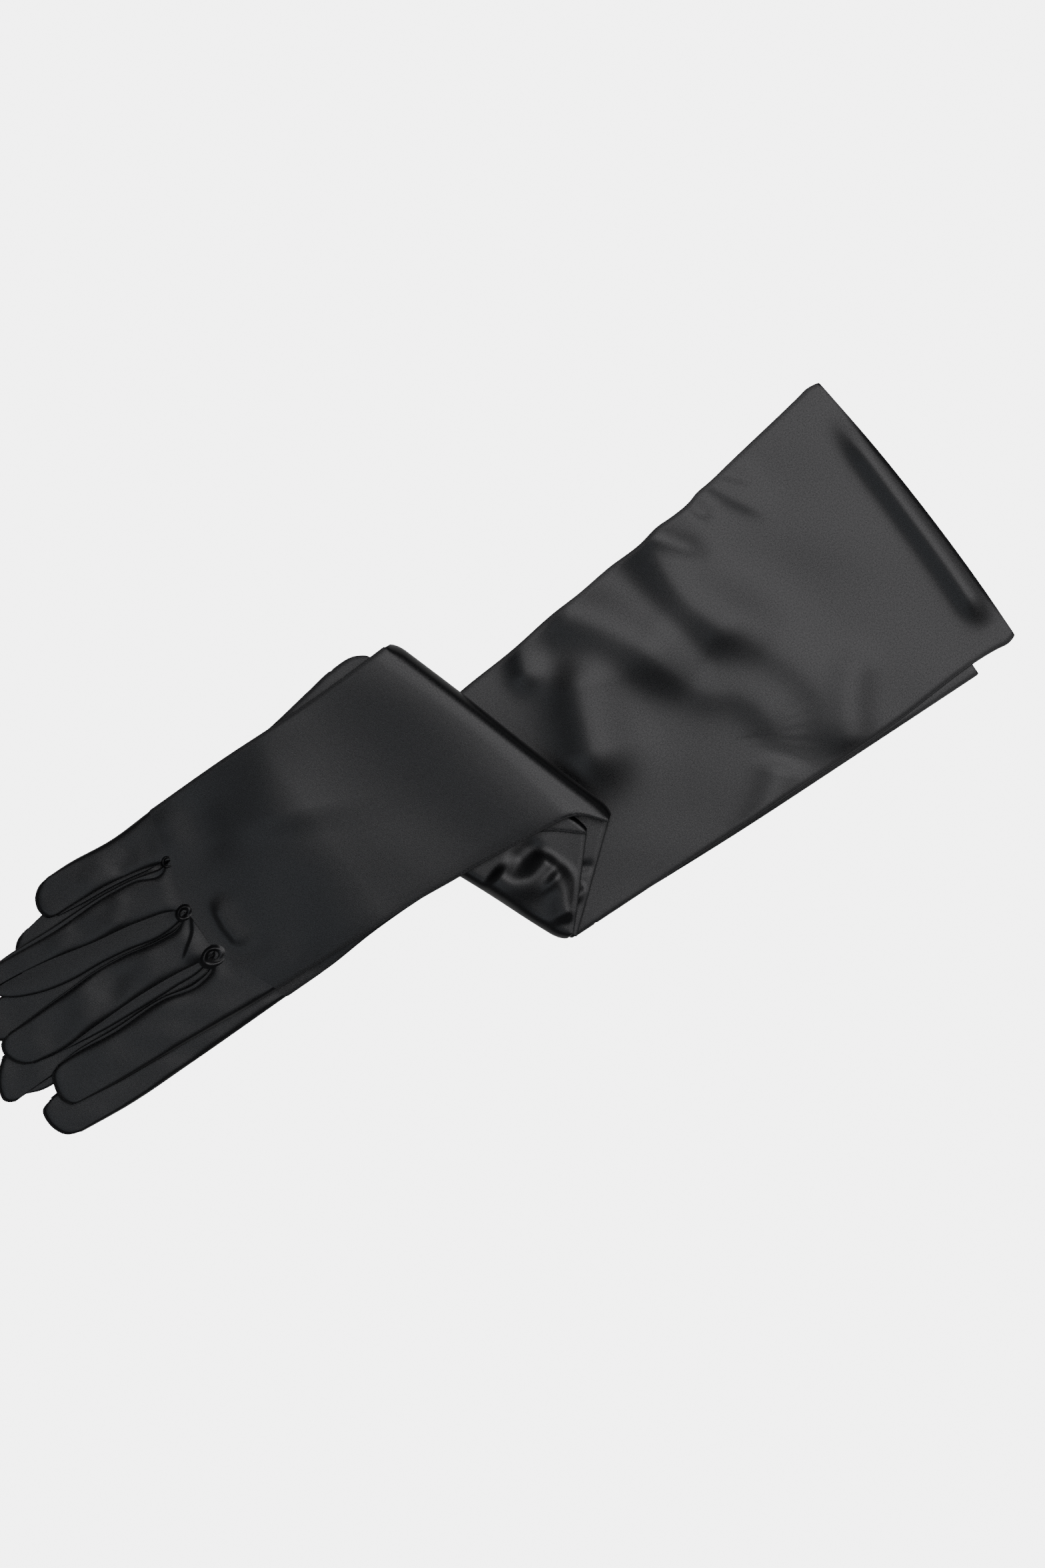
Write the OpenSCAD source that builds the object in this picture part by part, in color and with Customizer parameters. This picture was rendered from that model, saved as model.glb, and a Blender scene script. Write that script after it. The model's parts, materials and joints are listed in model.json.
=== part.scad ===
// A pair of opera gloves, laid palm to palm and folded twice like a letter Z.
// +X runs along the gloves towards their mouths, +Z is up, and the lower glove lies on z = 0.
// The right glove lies back up on top, and the left glove lies palm up beneath it.

/* [Cloth] */
// Thickness of one layer of satin
cloth = 0.5; // [0.4:0.1:0.6]
// Room inside each glove, between its back and its palm
inside = 1.0; // [0.8:0.1:1.2]
// Space between the two gloves
between = 0.4; // [0.3:0.1:0.5]
// Space between two folded layers of the pair
fold_space = 1.0; // [0.8:0.1:1.2]

/* [Sewing] */
// Width of the turned-in side seams
seam_w = 3; // [2:0.5:4]
// Depth of the hem round each mouth
hem_depth = 10; // [8:1:14]
// Thickness of one turned-in hem layer
hem_t = 0.4; // [0.3:0.05:0.4]
// Radius of a fingertip's corners
tip_r = 5; // [3:0.5:6]
// Thickness of a thumb, both layers together
thumb_t = 1.2; // [1.0:0.1:1.3]

/* [Joints] */
// Clearance between pieces that move apart
clearance = 0.3; // [0.3:0.05:0.5]

/* [Hidden] */

$fn = 48;
satin = [0.07, 0.07, 0.08];
lining = [0.16, 0.16, 0.18];
thread = [0.24, 0.24, 0.26];

// One glove is two layers of cloth with room between them, and the pair is two gloves.
glove_t = 2 * cloth + inside;
pair_t = 2 * glove_t + between;
// The elbow fold turns the pair about axis height elbow_z, the forearm fold about forearm_z.
elbow_z = pair_t + fold_space / 2;
mid_z = pair_t + fold_space;
forearm_z = mid_z + pair_t + fold_space / 2;
top_z = mid_z + pair_t + fold_space;

// Heights of the lowest face of each layer in the upper arm, elbow and hand stretches.
left_arm_z = 0;
right_arm_z = glove_t + between;
right_mid_z = mid_z;
left_mid_z = mid_z + glove_t + between;
left_hand_z = top_z;
right_hand_z = top_z + glove_t + between;
back_up = glove_t - cloth;

// Fold lines in plan: a point, the line's angle, and how far the cloth reaches each way.
elbow_point = [-13.7, -15.2];
elbow_angle = -67.7;
elbow_reach = 53;
right_elbow_reach = 54.5;
forearm_point = [27.5, 19];
forearm_angle = -73;
forearm_reach = 57;
left_forearm_point = [16.4, 24.1];
left_forearm_reach = 54.3;
// Direction of the elbow stretch, from the elbow fold to the forearm fold.
mid_angle = 40;

function along(angle) = [cos(angle), sin(angle)];
function elbow_at(s) = elbow_point + s * along(elbow_angle);
function forearm_at(s) = forearm_point + s * along(forearm_angle);
function left_forearm_at(s) = left_forearm_point + s * along(forearm_angle);

// Long edges of each stretch, from the mouth end or fold towards the fingers' end.
right_arm_upper = [[216.4, 59.5], [206, 59.5], [120, 51], [28.5, 42.2], elbow_at(-right_elbow_reach)];
right_arm_lower = [[221.9, -69.3], [213, -69.7], [110, -68], [30, -66.5], elbow_at(right_elbow_reach)];
left_arm_upper = [[196, 54], [120, 47], [28, 38.5], elbow_at(-elbow_reach)];
left_arm_lower = [[201.2, -73.7], [83, -69], [30, -66], elbow_at(elbow_reach)];
off_elbow = clearance * along(elbow_angle + 90);
off_forearm = clearance * along(forearm_angle - 90);
right_mid_upper = [forearm_at(-forearm_reach), elbow_at(-right_elbow_reach) + off_elbow];
right_mid_lower = [forearm_at(forearm_reach), elbow_at(right_elbow_reach) + off_elbow];
left_mid_upper = [left_forearm_at(-left_forearm_reach), elbow_at(-elbow_reach) + off_elbow];
left_mid_lower = [left_forearm_at(left_forearm_reach), elbow_at(elbow_reach) + off_elbow];
right_hand_upper = [forearm_at(-forearm_reach) + off_forearm, [-38, 73.3], [-108.4, 75.1]];
right_hand_lower = [forearm_at(forearm_reach) + off_forearm, [1, -20.7], [-33, -17.8], [-93, -13.7],
    [-114.7, -12.7]];
left_hand_upper = [left_forearm_at(-left_forearm_reach) + off_forearm, [-20, 76.3], [-44, 74],
    [-108, 71.5]];
left_hand_lower = [left_forearm_at(left_forearm_reach) + off_forearm, [0, -21.2], [-60, -17.2],
    [-104, -17.8]];
// The knuckle ends of the hands, from the little finger's side to the index finger's side.
right_knuckles = [[-108.4, 54.5], [-114.4, 54.3], [-114.4, 33], [-114.7, 33]];
left_knuckles = [[-113, 48.5], [-118.5, 27], [-118, 4.5]];

// How far the mouth's edge bulges outwards.
mouth_bulge = 2.3;
mouth_steps = 8;

// One finger: base, middle and tip of its upper side, tip, middle and base of its lower side,
// then how far the fourchettes stand out on the upper and the lower side.
right_little = [[-109, 75.1], [-130, 75.8], [-164, 77.5], [-165, 63], [-134, 60.5], [-109, 55], 0, 1.4];
right_ring = [[-115, 54.6], [-150, 57.6], [-201, 60], [-202, 49], [-154, 45.1], [-115, 34], 0.6, 7];
right_middle = [[-115.3, 32.4], [-159, 34.8], [-210, 35], [-208.5, 19.5], [-155, 16.6], [-115.3, 13.8], 1.2, 3.2];
right_index = [[-115.3, 12.4], [-150, 9.8], [-201, 14.5], [-201.5, -4.5], [-150, -9.5], [-115.3, -12.6], 1, 0];
left_little = [[-105, 71.3], [-138, 69.2], [-181, 64.5], [-182, 50], [-145, 49], [-110, 49.5], 0, 0.5];
left_ring = [[-110, 48], [-150, 47.8], [-209, 48.5], [-211, 33], [-155, 31.5], [-115, 28], 0.5, 0.5];
left_middle = [[-115, 26.5], [-155, 30], [-216, 29.5], [-222, 12], [-160, 9.5], [-115, 5.5], 0.5, 1.5];
left_index = [[-115, 4], [-150, 5], [-210.5, 3.5], [-209.5, -13], [-150, -17.2], [-101, -17.8], 1, 0];
side_steps = 8;
corner_steps = 5;
// Where the left glove's outer fourchettes start, past the ends of its side seams.
left_little_start = -108.4;
left_index_start = -104.4;

// Thumbs: the same six points, each laid flat against its own palm.
right_thumb_line = [[-58, 14], [-82, 18.5], [-106, 20], [-106, 5], [-82, -2], [-58, -10]];
left_thumb_line = [[-58, 10], [-84, 14.5], [-110, 16], [-110, 1], [-84, -6], [-58, -14]];
thumb_layer = 0.45;

// Bottom of each glove's hand, as [x, height]: over the folds, down, then out to the fingertips.
past_all = 60;
left_drape = [[past_all, left_hand_z], [-44, left_hand_z], [-80, 0], [-240, 0]];
right_drape = [[past_all, right_hand_z], [-60, right_hand_z], [-105, 5.4], [-205, glove_t + between]];
drape_w = 300;
cut_h = 40;

function unit(v) = v / norm(v);
function reversed(p) = [for (i = [len(p) - 1 : -1 : 0]) p[i]];
function moved(p, by) = [for (q = p) q + by];

// A smooth side from a to b that passes through middle m, pushed sideways by h.
function side(a, m, b, h) =
    let (c = 2 * m - (a + b) / 2)
    [for (i = [0 : side_steps])
        let (u = i / side_steps)
        (1 - u) * (1 - u) * a + 2 * u * (1 - u) * c + u * u * b + [0, h * sin(180 * u)]];

// An arc of radius r in the corner at p, between its neighbours a and b.
function corner(a, p, b, r) =
    let (
        u = unit(a - p),
        v = unit(b - p),
        half = acos(u * v) / 2,
        centre = p + unit(u + v) * r / sin(half),
        start = p + u * r / tan(half) - centre,
        from = atan2(start[1], start[0]),
        turn = (cross(u, v) < 0 ? 1 : -1) * (180 - 2 * half)
    )
    [for (i = [0 : corner_steps]) centre + r * along(from + turn * i / corner_steps)];

function most(p) = [for (i = [0 : len(p) - 2]) p[i]];
function rest(p) = [for (i = [1 : len(p) - 1]) p[i]];

// Outline of a finger or thumb, with its sides pushed out by up and low.
function finger_line(f, up, low) =
    let (upper = side(f[0], f[1], f[2], up), lower = side(f[3], f[4], f[5], -low))
    concat(
        most(upper),
        corner(upper[side_steps - 1], f[2], f[3], tip_r),
        corner(f[2], f[3], lower[1], tip_r),
        rest(lower)
    );

// A parabola from a to b that bulges by h towards +X.
function bulge(a, b, h) =
    [for (i = [0 : mouth_steps])
        let (u = i / mouth_steps)
        a + u * (b - a) + [4 * h * u * (1 - u), 0]];

// A stretch of glove between its two long edges, with a curved mouth or a shaped far end.
module stretch(upper, lower, mouth = 0, far_end = []) {
    polygon(concat(bulge(lower[0], upper[0], mouth), rest(upper), far_end, reversed(rest(lower))));
}

// The same stretch without its side seams, run on past both ends.
module stretch_middle(upper, lower, angle) {
    out = cut_h * along(angle);
    inwards = seam_w * along(angle - 90);
    u = moved(upper, inwards);
    l = moved(lower, -inwards);
    polygon(concat([u[0] + out], u, [u[len(u) - 1] - out, l[len(l) - 1] - out], reversed(l), [l[0] + out]));
}

module slab(z, t) {
    translate([0, 0, z]) linear_extrude(t) children();
}

// Cloth that follows a drape line, from height low to height high above it, cut to its children.
module draped(line, low, high) {
    intersection() {
        linear_extrude(cut_h) children();
        rotate([90, 0, 0])
            linear_extrude(drape_w, center = true)
                polygon(concat(
                    [for (p = line) p + [0, low]],
                    [for (p = reversed(line)) p + [0, high]]
                ));
    }
}

// A half round of cloth along a fold line, outside radius r, centred on height z.
module half_round(point, angle, z, r, reach, towards) {
    translate([point[0], point[1], z])
        rotate([0, 0, angle])
            rotate([90, 0, 90])
                linear_extrude(2 * reach, center = true)
                    intersection() {
                        difference() {
                            circle(r);
                            circle(r - cloth);
                        }
                        translate([towards > 0 ? 0 : -2 * r, -2 * r])
                            square([2 * r, 4 * r]);
                    }
}

module elbow_bend(inner, reach) {
    half_round(elbow_point, elbow_angle, elbow_z, inner + cloth, reach, -1);
}

module forearm_bend(point, inner, reach) {
    half_round(point, forearm_angle, forearm_z, inner + cloth, reach, 1);
}

module hem(upper, lower, z) {
    depth = [-hem_depth, 0];
    outer = bulge(lower[0], upper[0], mouth_bulge);
    for (lift = [cloth, glove_t - cloth - hem_t])
        slab(z + lift, hem_t)
            intersection() {
                polygon(concat(outer, reversed(moved(outer, depth))));
                offset(delta = -clearance) stretch_middle(upper, lower, 0);
            }
}

module side_seams(upper, lower, angle, z, mouth = 0) {
    slab(z + cloth, inside)
        difference() {
            stretch(upper, lower, mouth);
            stretch_middle(upper, lower, angle);
        }
}

module hand_seams(upper, lower, line) {
    draped(line, cloth, cloth + inside)
        difference() {
            stretch(upper, lower);
            stretch_middle(upper, lower, 0);
        }
}

module finger(f) {
    polygon(finger_line(f, 0, 0));
}

// The long strips between a finger's back and palm, one on each side, that begin at x = start.
module fourchettes(f, line, start) {
    out = [cut_h, 0];
    inset = [0, seam_w];
    draped(line, cloth, cloth + inside)
        difference() {
            polygon(finger_line(f, f[6], f[7]));
            polygon([f[0] + out - inset, f[1] - inset, f[2] - out - inset,
                f[3] - out + inset, f[4] + inset, f[5] + out + inset]);
            translate([start, -cut_h]) square([cut_h, 3 * cut_h]);
        }
}

// A thumb is one strip of cloth folded along its upper side and laid flat.
module thumb(f, line, low) {
    difference() {
        draped(line, low, low + thumb_t) polygon(finger_line(f, 0, 0));
        draped(line, low + thumb_layer, low + thumb_t - thumb_layer)
            polygon(moved(finger_line(f, 0, 0), [seam_w, -seam_w]));
    }
}

module right_hand_shape() {
    stretch(right_hand_upper, right_hand_lower, 0, right_knuckles);
}

module left_hand_shape() {
    stretch(left_hand_upper, left_hand_lower, 0, left_knuckles);
    finger(left_little);
    finger(left_ring);
    finger(left_middle);
    finger(left_index);
}

module left_back_upper_arm() {
    color(satin) slab(left_arm_z, cloth) stretch(left_arm_upper, left_arm_lower, mouth_bulge);
}

module left_palm_upper_arm() {
    color(satin)
        slab(left_arm_z + back_up, cloth)
            stretch(left_arm_upper, left_arm_lower, mouth_bulge);
}

module left_hem() {
    color(lining) hem(left_arm_upper, left_arm_lower, left_arm_z);
}

module left_seams_upper_arm() {
    color(thread) side_seams(left_arm_upper, left_arm_lower, 0, left_arm_z, mouth_bulge);
}

module left_back_elbow_bend() {
    color(satin) elbow_bend(elbow_z - cloth, elbow_reach);
}

module left_palm_elbow_bend() {
    color(satin) elbow_bend(elbow_z - glove_t, elbow_reach);
}

module left_back_elbow() {
    color(satin) slab(left_mid_z + back_up, cloth) stretch(left_mid_upper, left_mid_lower);
}

module left_palm_elbow() {
    color(satin) slab(left_mid_z, cloth) stretch(left_mid_upper, left_mid_lower);
}

module left_seams_elbow() {
    color(thread) side_seams(left_mid_upper, left_mid_lower, mid_angle, left_mid_z);
}

module left_back_forearm_bend() {
    color(satin) forearm_bend(left_forearm_point, fold_space / 2, left_forearm_reach);
}

module left_palm_forearm_bend() {
    color(satin) forearm_bend(left_forearm_point, fold_space / 2 + back_up, left_forearm_reach);
}

module left_back_hand() {
    color(satin) draped(left_drape, 0, cloth) left_hand_shape();
}

module left_palm_hand() {
    color(satin) draped(left_drape, back_up, glove_t) left_hand_shape();
}

module left_seams_hand() {
    color(thread) hand_seams(left_hand_upper, left_hand_lower, left_drape);
}

module left_thumb() {
    color(satin) thumb(left_thumb_line, left_drape, glove_t);
}

module left_little_fourchettes() {
    color(lining) fourchettes(left_little, left_drape, left_little_start);
}

module left_ring_fourchettes() {
    color(lining) fourchettes(left_ring, left_drape, 0);
}

module left_middle_fourchettes() {
    color(lining) fourchettes(left_middle, left_drape, 0);
}

module left_index_fourchettes() {
    color(lining) fourchettes(left_index, left_drape, left_index_start);
}

module right_back_upper_arm() {
    color(satin)
        slab(right_arm_z + back_up, cloth)
            stretch(right_arm_upper, right_arm_lower, mouth_bulge);
}

module right_palm_upper_arm() {
    color(satin) slab(right_arm_z, cloth) stretch(right_arm_upper, right_arm_lower, mouth_bulge);
}

module right_hem() {
    color(lining) hem(right_arm_upper, right_arm_lower, right_arm_z);
}

module right_seams_upper_arm() {
    color(thread) side_seams(right_arm_upper, right_arm_lower, 0, right_arm_z, mouth_bulge);
}

module right_back_elbow_bend() {
    color(satin) elbow_bend(fold_space / 2, right_elbow_reach);
}

module right_palm_elbow_bend() {
    color(satin) elbow_bend(fold_space / 2 + back_up, right_elbow_reach);
}

module right_back_elbow() {
    color(satin) slab(right_mid_z, cloth) stretch(right_mid_upper, right_mid_lower);
}

module right_palm_elbow() {
    color(satin) slab(right_mid_z + back_up, cloth) stretch(right_mid_upper, right_mid_lower);
}

module right_seams_elbow() {
    color(thread) side_seams(right_mid_upper, right_mid_lower, mid_angle, right_mid_z);
}

module right_back_forearm_bend() {
    color(satin) forearm_bend(forearm_point, elbow_z - cloth, forearm_reach);
}

module right_palm_forearm_bend() {
    color(satin) forearm_bend(forearm_point, elbow_z - glove_t, forearm_reach);
}

module right_back_hand() {
    color(satin) draped(right_drape, back_up, glove_t) right_hand_shape();
}

module right_palm_hand() {
    color(satin) draped(right_drape, 0, cloth) right_hand_shape();
}

module right_seams_hand() {
    color(thread) hand_seams(right_hand_upper, right_hand_lower, right_drape);
}

module right_thumb() {
    color(satin) thumb(right_thumb_line, right_drape, -thumb_t);
}

module right_little_back() {
    color(satin) draped(right_drape, back_up, glove_t) finger(right_little);
}

module right_ring_back() {
    color(satin) draped(right_drape, back_up, glove_t) finger(right_ring);
}

module right_middle_back() {
    color(satin) draped(right_drape, back_up, glove_t) finger(right_middle);
}

module right_index_back() {
    color(satin) draped(right_drape, back_up, glove_t) finger(right_index);
}

module right_little_palm() {
    color(satin) draped(right_drape, 0, cloth) finger(right_little);
}

module right_ring_palm() {
    color(satin) draped(right_drape, 0, cloth) finger(right_ring);
}

module right_middle_palm() {
    color(satin) draped(right_drape, 0, cloth) finger(right_middle);
}

module right_index_palm() {
    color(satin) draped(right_drape, 0, cloth) finger(right_index);
}

module right_little_fourchettes() {
    color(lining) fourchettes(right_little, right_drape, 0);
}

module right_ring_fourchettes() {
    color(lining) fourchettes(right_ring, right_drape, 0);
}

module right_middle_fourchettes() {
    color(lining) fourchettes(right_middle, right_drape, 0);
}

module right_index_fourchettes() {
    color(lining) fourchettes(right_index, right_drape, 0);
}

left_back_upper_arm();
left_palm_upper_arm();
left_hem();
left_seams_upper_arm();
left_back_elbow_bend();
left_palm_elbow_bend();
left_back_elbow();
left_palm_elbow();
left_seams_elbow();
left_back_forearm_bend();
left_palm_forearm_bend();
left_back_hand();
left_palm_hand();
left_seams_hand();
left_thumb();
left_little_fourchettes();
left_ring_fourchettes();
left_middle_fourchettes();
left_index_fourchettes();
right_back_upper_arm();
right_palm_upper_arm();
right_hem();
right_seams_upper_arm();
right_back_elbow_bend();
right_palm_elbow_bend();
right_back_elbow();
right_palm_elbow();
right_seams_elbow();
right_back_forearm_bend();
right_palm_forearm_bend();
right_back_hand();
right_palm_hand();
right_seams_hand();
right_thumb();
right_little_back();
right_ring_back();
right_middle_back();
right_index_back();
right_little_palm();
right_ring_palm();
right_middle_palm();
right_index_palm();
right_little_fourchettes();
right_ring_fourchettes();
right_middle_fourchettes();
right_index_fourchettes();
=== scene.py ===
"""A folded pair of black satin opera gloves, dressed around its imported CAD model.

The right glove lies back up on the left one. The pair is folded twice, so it has an upper arm
stretch, an elbow stretch and a hand stretch. Shapes are given in millimetres in the model's frame.
"""

import json
import logging
import math
from collections.abc import Sequence
from dataclasses import dataclass, field
from enum import Enum

import bpy
import numpy as np
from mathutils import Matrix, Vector


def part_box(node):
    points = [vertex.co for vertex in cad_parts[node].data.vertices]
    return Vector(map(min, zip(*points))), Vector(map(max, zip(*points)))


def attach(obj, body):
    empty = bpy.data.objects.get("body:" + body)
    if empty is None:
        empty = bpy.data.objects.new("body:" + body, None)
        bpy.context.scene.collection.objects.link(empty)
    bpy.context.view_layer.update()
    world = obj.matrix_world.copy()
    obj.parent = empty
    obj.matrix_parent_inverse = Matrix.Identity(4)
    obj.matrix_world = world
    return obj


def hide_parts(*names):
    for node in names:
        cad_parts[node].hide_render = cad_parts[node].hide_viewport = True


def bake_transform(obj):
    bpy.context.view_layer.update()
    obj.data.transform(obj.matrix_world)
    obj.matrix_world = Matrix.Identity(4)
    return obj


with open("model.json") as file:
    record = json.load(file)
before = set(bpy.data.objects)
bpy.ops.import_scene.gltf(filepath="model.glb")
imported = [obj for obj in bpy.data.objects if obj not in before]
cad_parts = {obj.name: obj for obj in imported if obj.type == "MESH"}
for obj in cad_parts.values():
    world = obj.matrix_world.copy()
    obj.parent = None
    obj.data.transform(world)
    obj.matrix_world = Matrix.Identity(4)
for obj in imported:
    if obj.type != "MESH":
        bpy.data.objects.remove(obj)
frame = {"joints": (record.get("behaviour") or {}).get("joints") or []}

LOG = logging.getLogger("opera_gloves")
MM = 0.001  # one millimetre, in metres
CLOTH = 0.35  # thickness of the satin
SEAM_HEIGHT = 0.55  # half height of a finger at the seams beside its strips
HEM_DEPTH = 10.0
EDGE_ROUND = 1.7  # radius of a glove's long edges
UP = np.array([0.0, 0.0, 1.0])
Points = Sequence[tuple[float, float]]
Face = tuple[np.ndarray, np.ndarray, np.ndarray, bool]  # height, outer face, normals, and whether it faces up


class Side(Enum):
    """The two panels of a glove."""

    BACK = "back"
    PALM = "palm"


class Hand(Enum):
    """The two gloves of the pair."""

    RIGHT = "right"
    LEFT = "left"


# ---------------------------------------------------------------- lines and grids


def distances(line: np.ndarray) -> np.ndarray:
    """Distance of each point from the first, along the line."""
    return np.r_[0, np.cumsum(np.linalg.norm(np.diff(line, axis=0), axis=1))]


def smooth_line(points: Points, count: int) -> np.ndarray:
    """Run a smooth line through points and divide it evenly.

    Args:
        points: The points it passes through.
        count: How many points to return.

    Returns:
        An array of count rows.
    """
    p = np.asarray(points, float)
    span = distances(p)
    if len(p) > 2:
        slope = np.gradient(p, span, axis=0)
        fine = np.linspace(0, span[-1], 24 * len(p))
        k = np.clip(np.searchsorted(span, fine, side="right") - 1, 0, len(p) - 2)
        step = (span[k + 1] - span[k])[:, None]
        t = ((fine - span[k]) / step[:, 0])[:, None]
        p = (
            (2 * t**3 - 3 * t**2 + 1) * p[k]
            + (t**3 - 2 * t**2 + t) * step * slope[k]
            + (3 * t**2 - 2 * t**3) * p[k + 1]
            + (t**3 - t**2) * step * slope[k + 1]
        )
        span = distances(p)
    even = np.linspace(0, span[-1], count)
    return np.stack([np.interp(even, span, p[:, i]) for i in range(p.shape[1])], axis=1)


def patch(near: np.ndarray, far: np.ndarray, first: np.ndarray, last: np.ndarray) -> np.ndarray:
    """Fill the space between four edge lines with a grid.

    Args:
        near: The edge at the first row, one point a column.
        far: The edge at the last row.
        first: The edge at the first column, one point a row.
        last: The edge at the last column.

    Returns:
        An array of rows by columns by 2.
    """
    u = np.linspace(0, 1, len(first))[:, None, None]
    v = np.linspace(0, 1, len(near))[None, :, None]
    corners = (1 - u) * ((1 - v) * near[0] + v * near[-1]) + u * ((1 - v) * far[0] + v * far[-1])
    return (1 - u) * near[None] + u * far[None] + (1 - v) * first[:, None] + v * last[:, None] - corners


def unit(v: np.ndarray) -> np.ndarray:
    """Scale vectors to length one."""
    return v / np.maximum(np.linalg.norm(v, axis=-1, keepdims=True), 1e-12)


def eased(x: np.ndarray, low: float, high: float) -> np.ndarray:
    """Rise smoothly from 0 at low to 1 at high."""
    t = np.clip((x - low) / (high - low), 0, 1)
    return t * t * (3 - 2 * t)


def grid_normals(grid: np.ndarray, towards: np.ndarray) -> np.ndarray:
    """Normals of a grid of points, turned to the side that towards points to."""
    n = unit(np.cross(np.gradient(grid, axis=0), np.gradient(grid, axis=1)))
    return n * np.where((n * towards).sum(-1, keepdims=True) < 0, -1.0, 1.0)


def across(grid: np.ndarray) -> tuple[np.ndarray, np.ndarray]:
    """Distance of each grid point from the first and from the last column, along its row."""
    step = np.linalg.norm(np.diff(grid, axis=1), axis=-1)
    run = np.concatenate([np.zeros((len(grid), 1)), np.cumsum(step, axis=1)], axis=1)
    return run, run[:, -1:] - run


def lengthwise(grid: np.ndarray) -> np.ndarray:
    """Distance of each grid point from the first row, along its column."""
    step = np.linalg.norm(np.diff(grid, axis=0), axis=-1)
    return np.concatenate([np.zeros((1, grid.shape[1])), np.cumsum(step, axis=0)], axis=0)


def rounded(distance: np.ndarray, radius: float = EDGE_ROUND) -> np.ndarray:
    """Height of a round edge, from 0 at the edge to 1 one radius inside it."""
    t = 1 - np.clip(distance / radius, 0, 1)
    return np.sqrt(np.maximum(1 - t * t, 0))


def ripple(x: np.ndarray, y: np.ndarray, wave: float, seed: int, count: int = 14) -> np.ndarray:
    """Soft, even unevenness between about -1 and 1, with bumps about half of wave across."""
    rng = np.random.default_rng(seed)
    total = np.zeros_like(x)
    for _ in range(count):
        turn, phase = rng.uniform(0, 2 * math.pi, 2)
        k = 2 * math.pi / (wave * rng.uniform(0.6, 1.6))
        total += np.cos(k * (x * math.cos(turn) + y * math.sin(turn)) + phase)
    return total / math.sqrt(count)


# ---------------------------------------------------------------- creases


@dataclass(frozen=True)
class Crease:
    """One soft fold in the cloth: a ridge along a line, or a valley where height is negative.

    Attributes:
        line: Points along its crest.
        height: How far it stands out.
        left: Its reach to the left of the line's direction.
        right: Its reach to the right.
        ends: Over what share of its length it fades in and out.
    """

    line: Points
    height: float
    left: float
    right: float
    ends: tuple[float, float] = (0.25, 0.25)

    def lift(self, x: np.ndarray, y: np.ndarray) -> np.ndarray:
        """Height of the crease at each point.

        Args:
            x: The points' first coordinates.
            y: Their second coordinates.

        Returns:
            An array like x.
        """
        line = smooth_line(self.line, 4 * len(self.line))
        nearest = np.full(x.shape, np.inf)
        signed = np.zeros(x.shape)
        share = np.zeros(x.shape)
        for i, (a, b) in enumerate(zip(line[:-1], line[1:])):
            d = b - a
            t = np.clip(((x - a[0]) * d[0] + (y - a[1]) * d[1]) / (d @ d), 0, 1)
            gap_x, gap_y = x - a[0] - t * d[0], y - a[1] - t * d[1]
            gap = np.hypot(gap_x, gap_y)
            closer = gap < nearest
            nearest = np.where(closer, gap, nearest)
            signed = np.where(closer, (d[0] * gap_y - d[1] * gap_x) / np.linalg.norm(d), signed)
            share = np.where(closer, (i + t) / (len(line) - 1), share)
        lean = np.clip(signed / np.maximum(nearest, 1e-9), -1, 1)
        width = self.right + (self.left - self.right) * (0.5 + 0.5 * lean)
        fade = np.ones(x.shape)
        for end, so_far in zip(self.ends, (share, 1 - share)):
            if end > 0:
                fade = fade * eased(so_far, 0, end)
        return self.height * np.exp(-((nearest / width) ** 2)) * fade


def lifts(creases: Sequence[Crease], x: np.ndarray, y: np.ndarray) -> np.ndarray:
    """Sum of several creases at each point."""
    return sum((c.lift(x, y) for c in creases), np.zeros_like(x))


# ---------------------------------------------------------------- finishes


def put(made: bpy.types.Node, **values: object) -> None:
    """Set a node's inputs by name, with an underscore for each space."""
    for name, value in values.items():
        made.inputs[name.replace("_", " ")].default_value = value


def node(tree: bpy.types.NodeTree, kind: str, **values: object) -> bpy.types.Node:
    """Add a node and set its properties, or its inputs where the name is one of those.

    Args:
        tree: The tree that gets the node.
        kind: The node's type.
        values: Property or input names, with their values.

    Returns:
        The new node.
    """
    made = tree.nodes.new(kind)
    for name, value in values.items():
        if hasattr(made, name):
            setattr(made, name, value)
        else:
            put(made, **{name: value})
    return made


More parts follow.
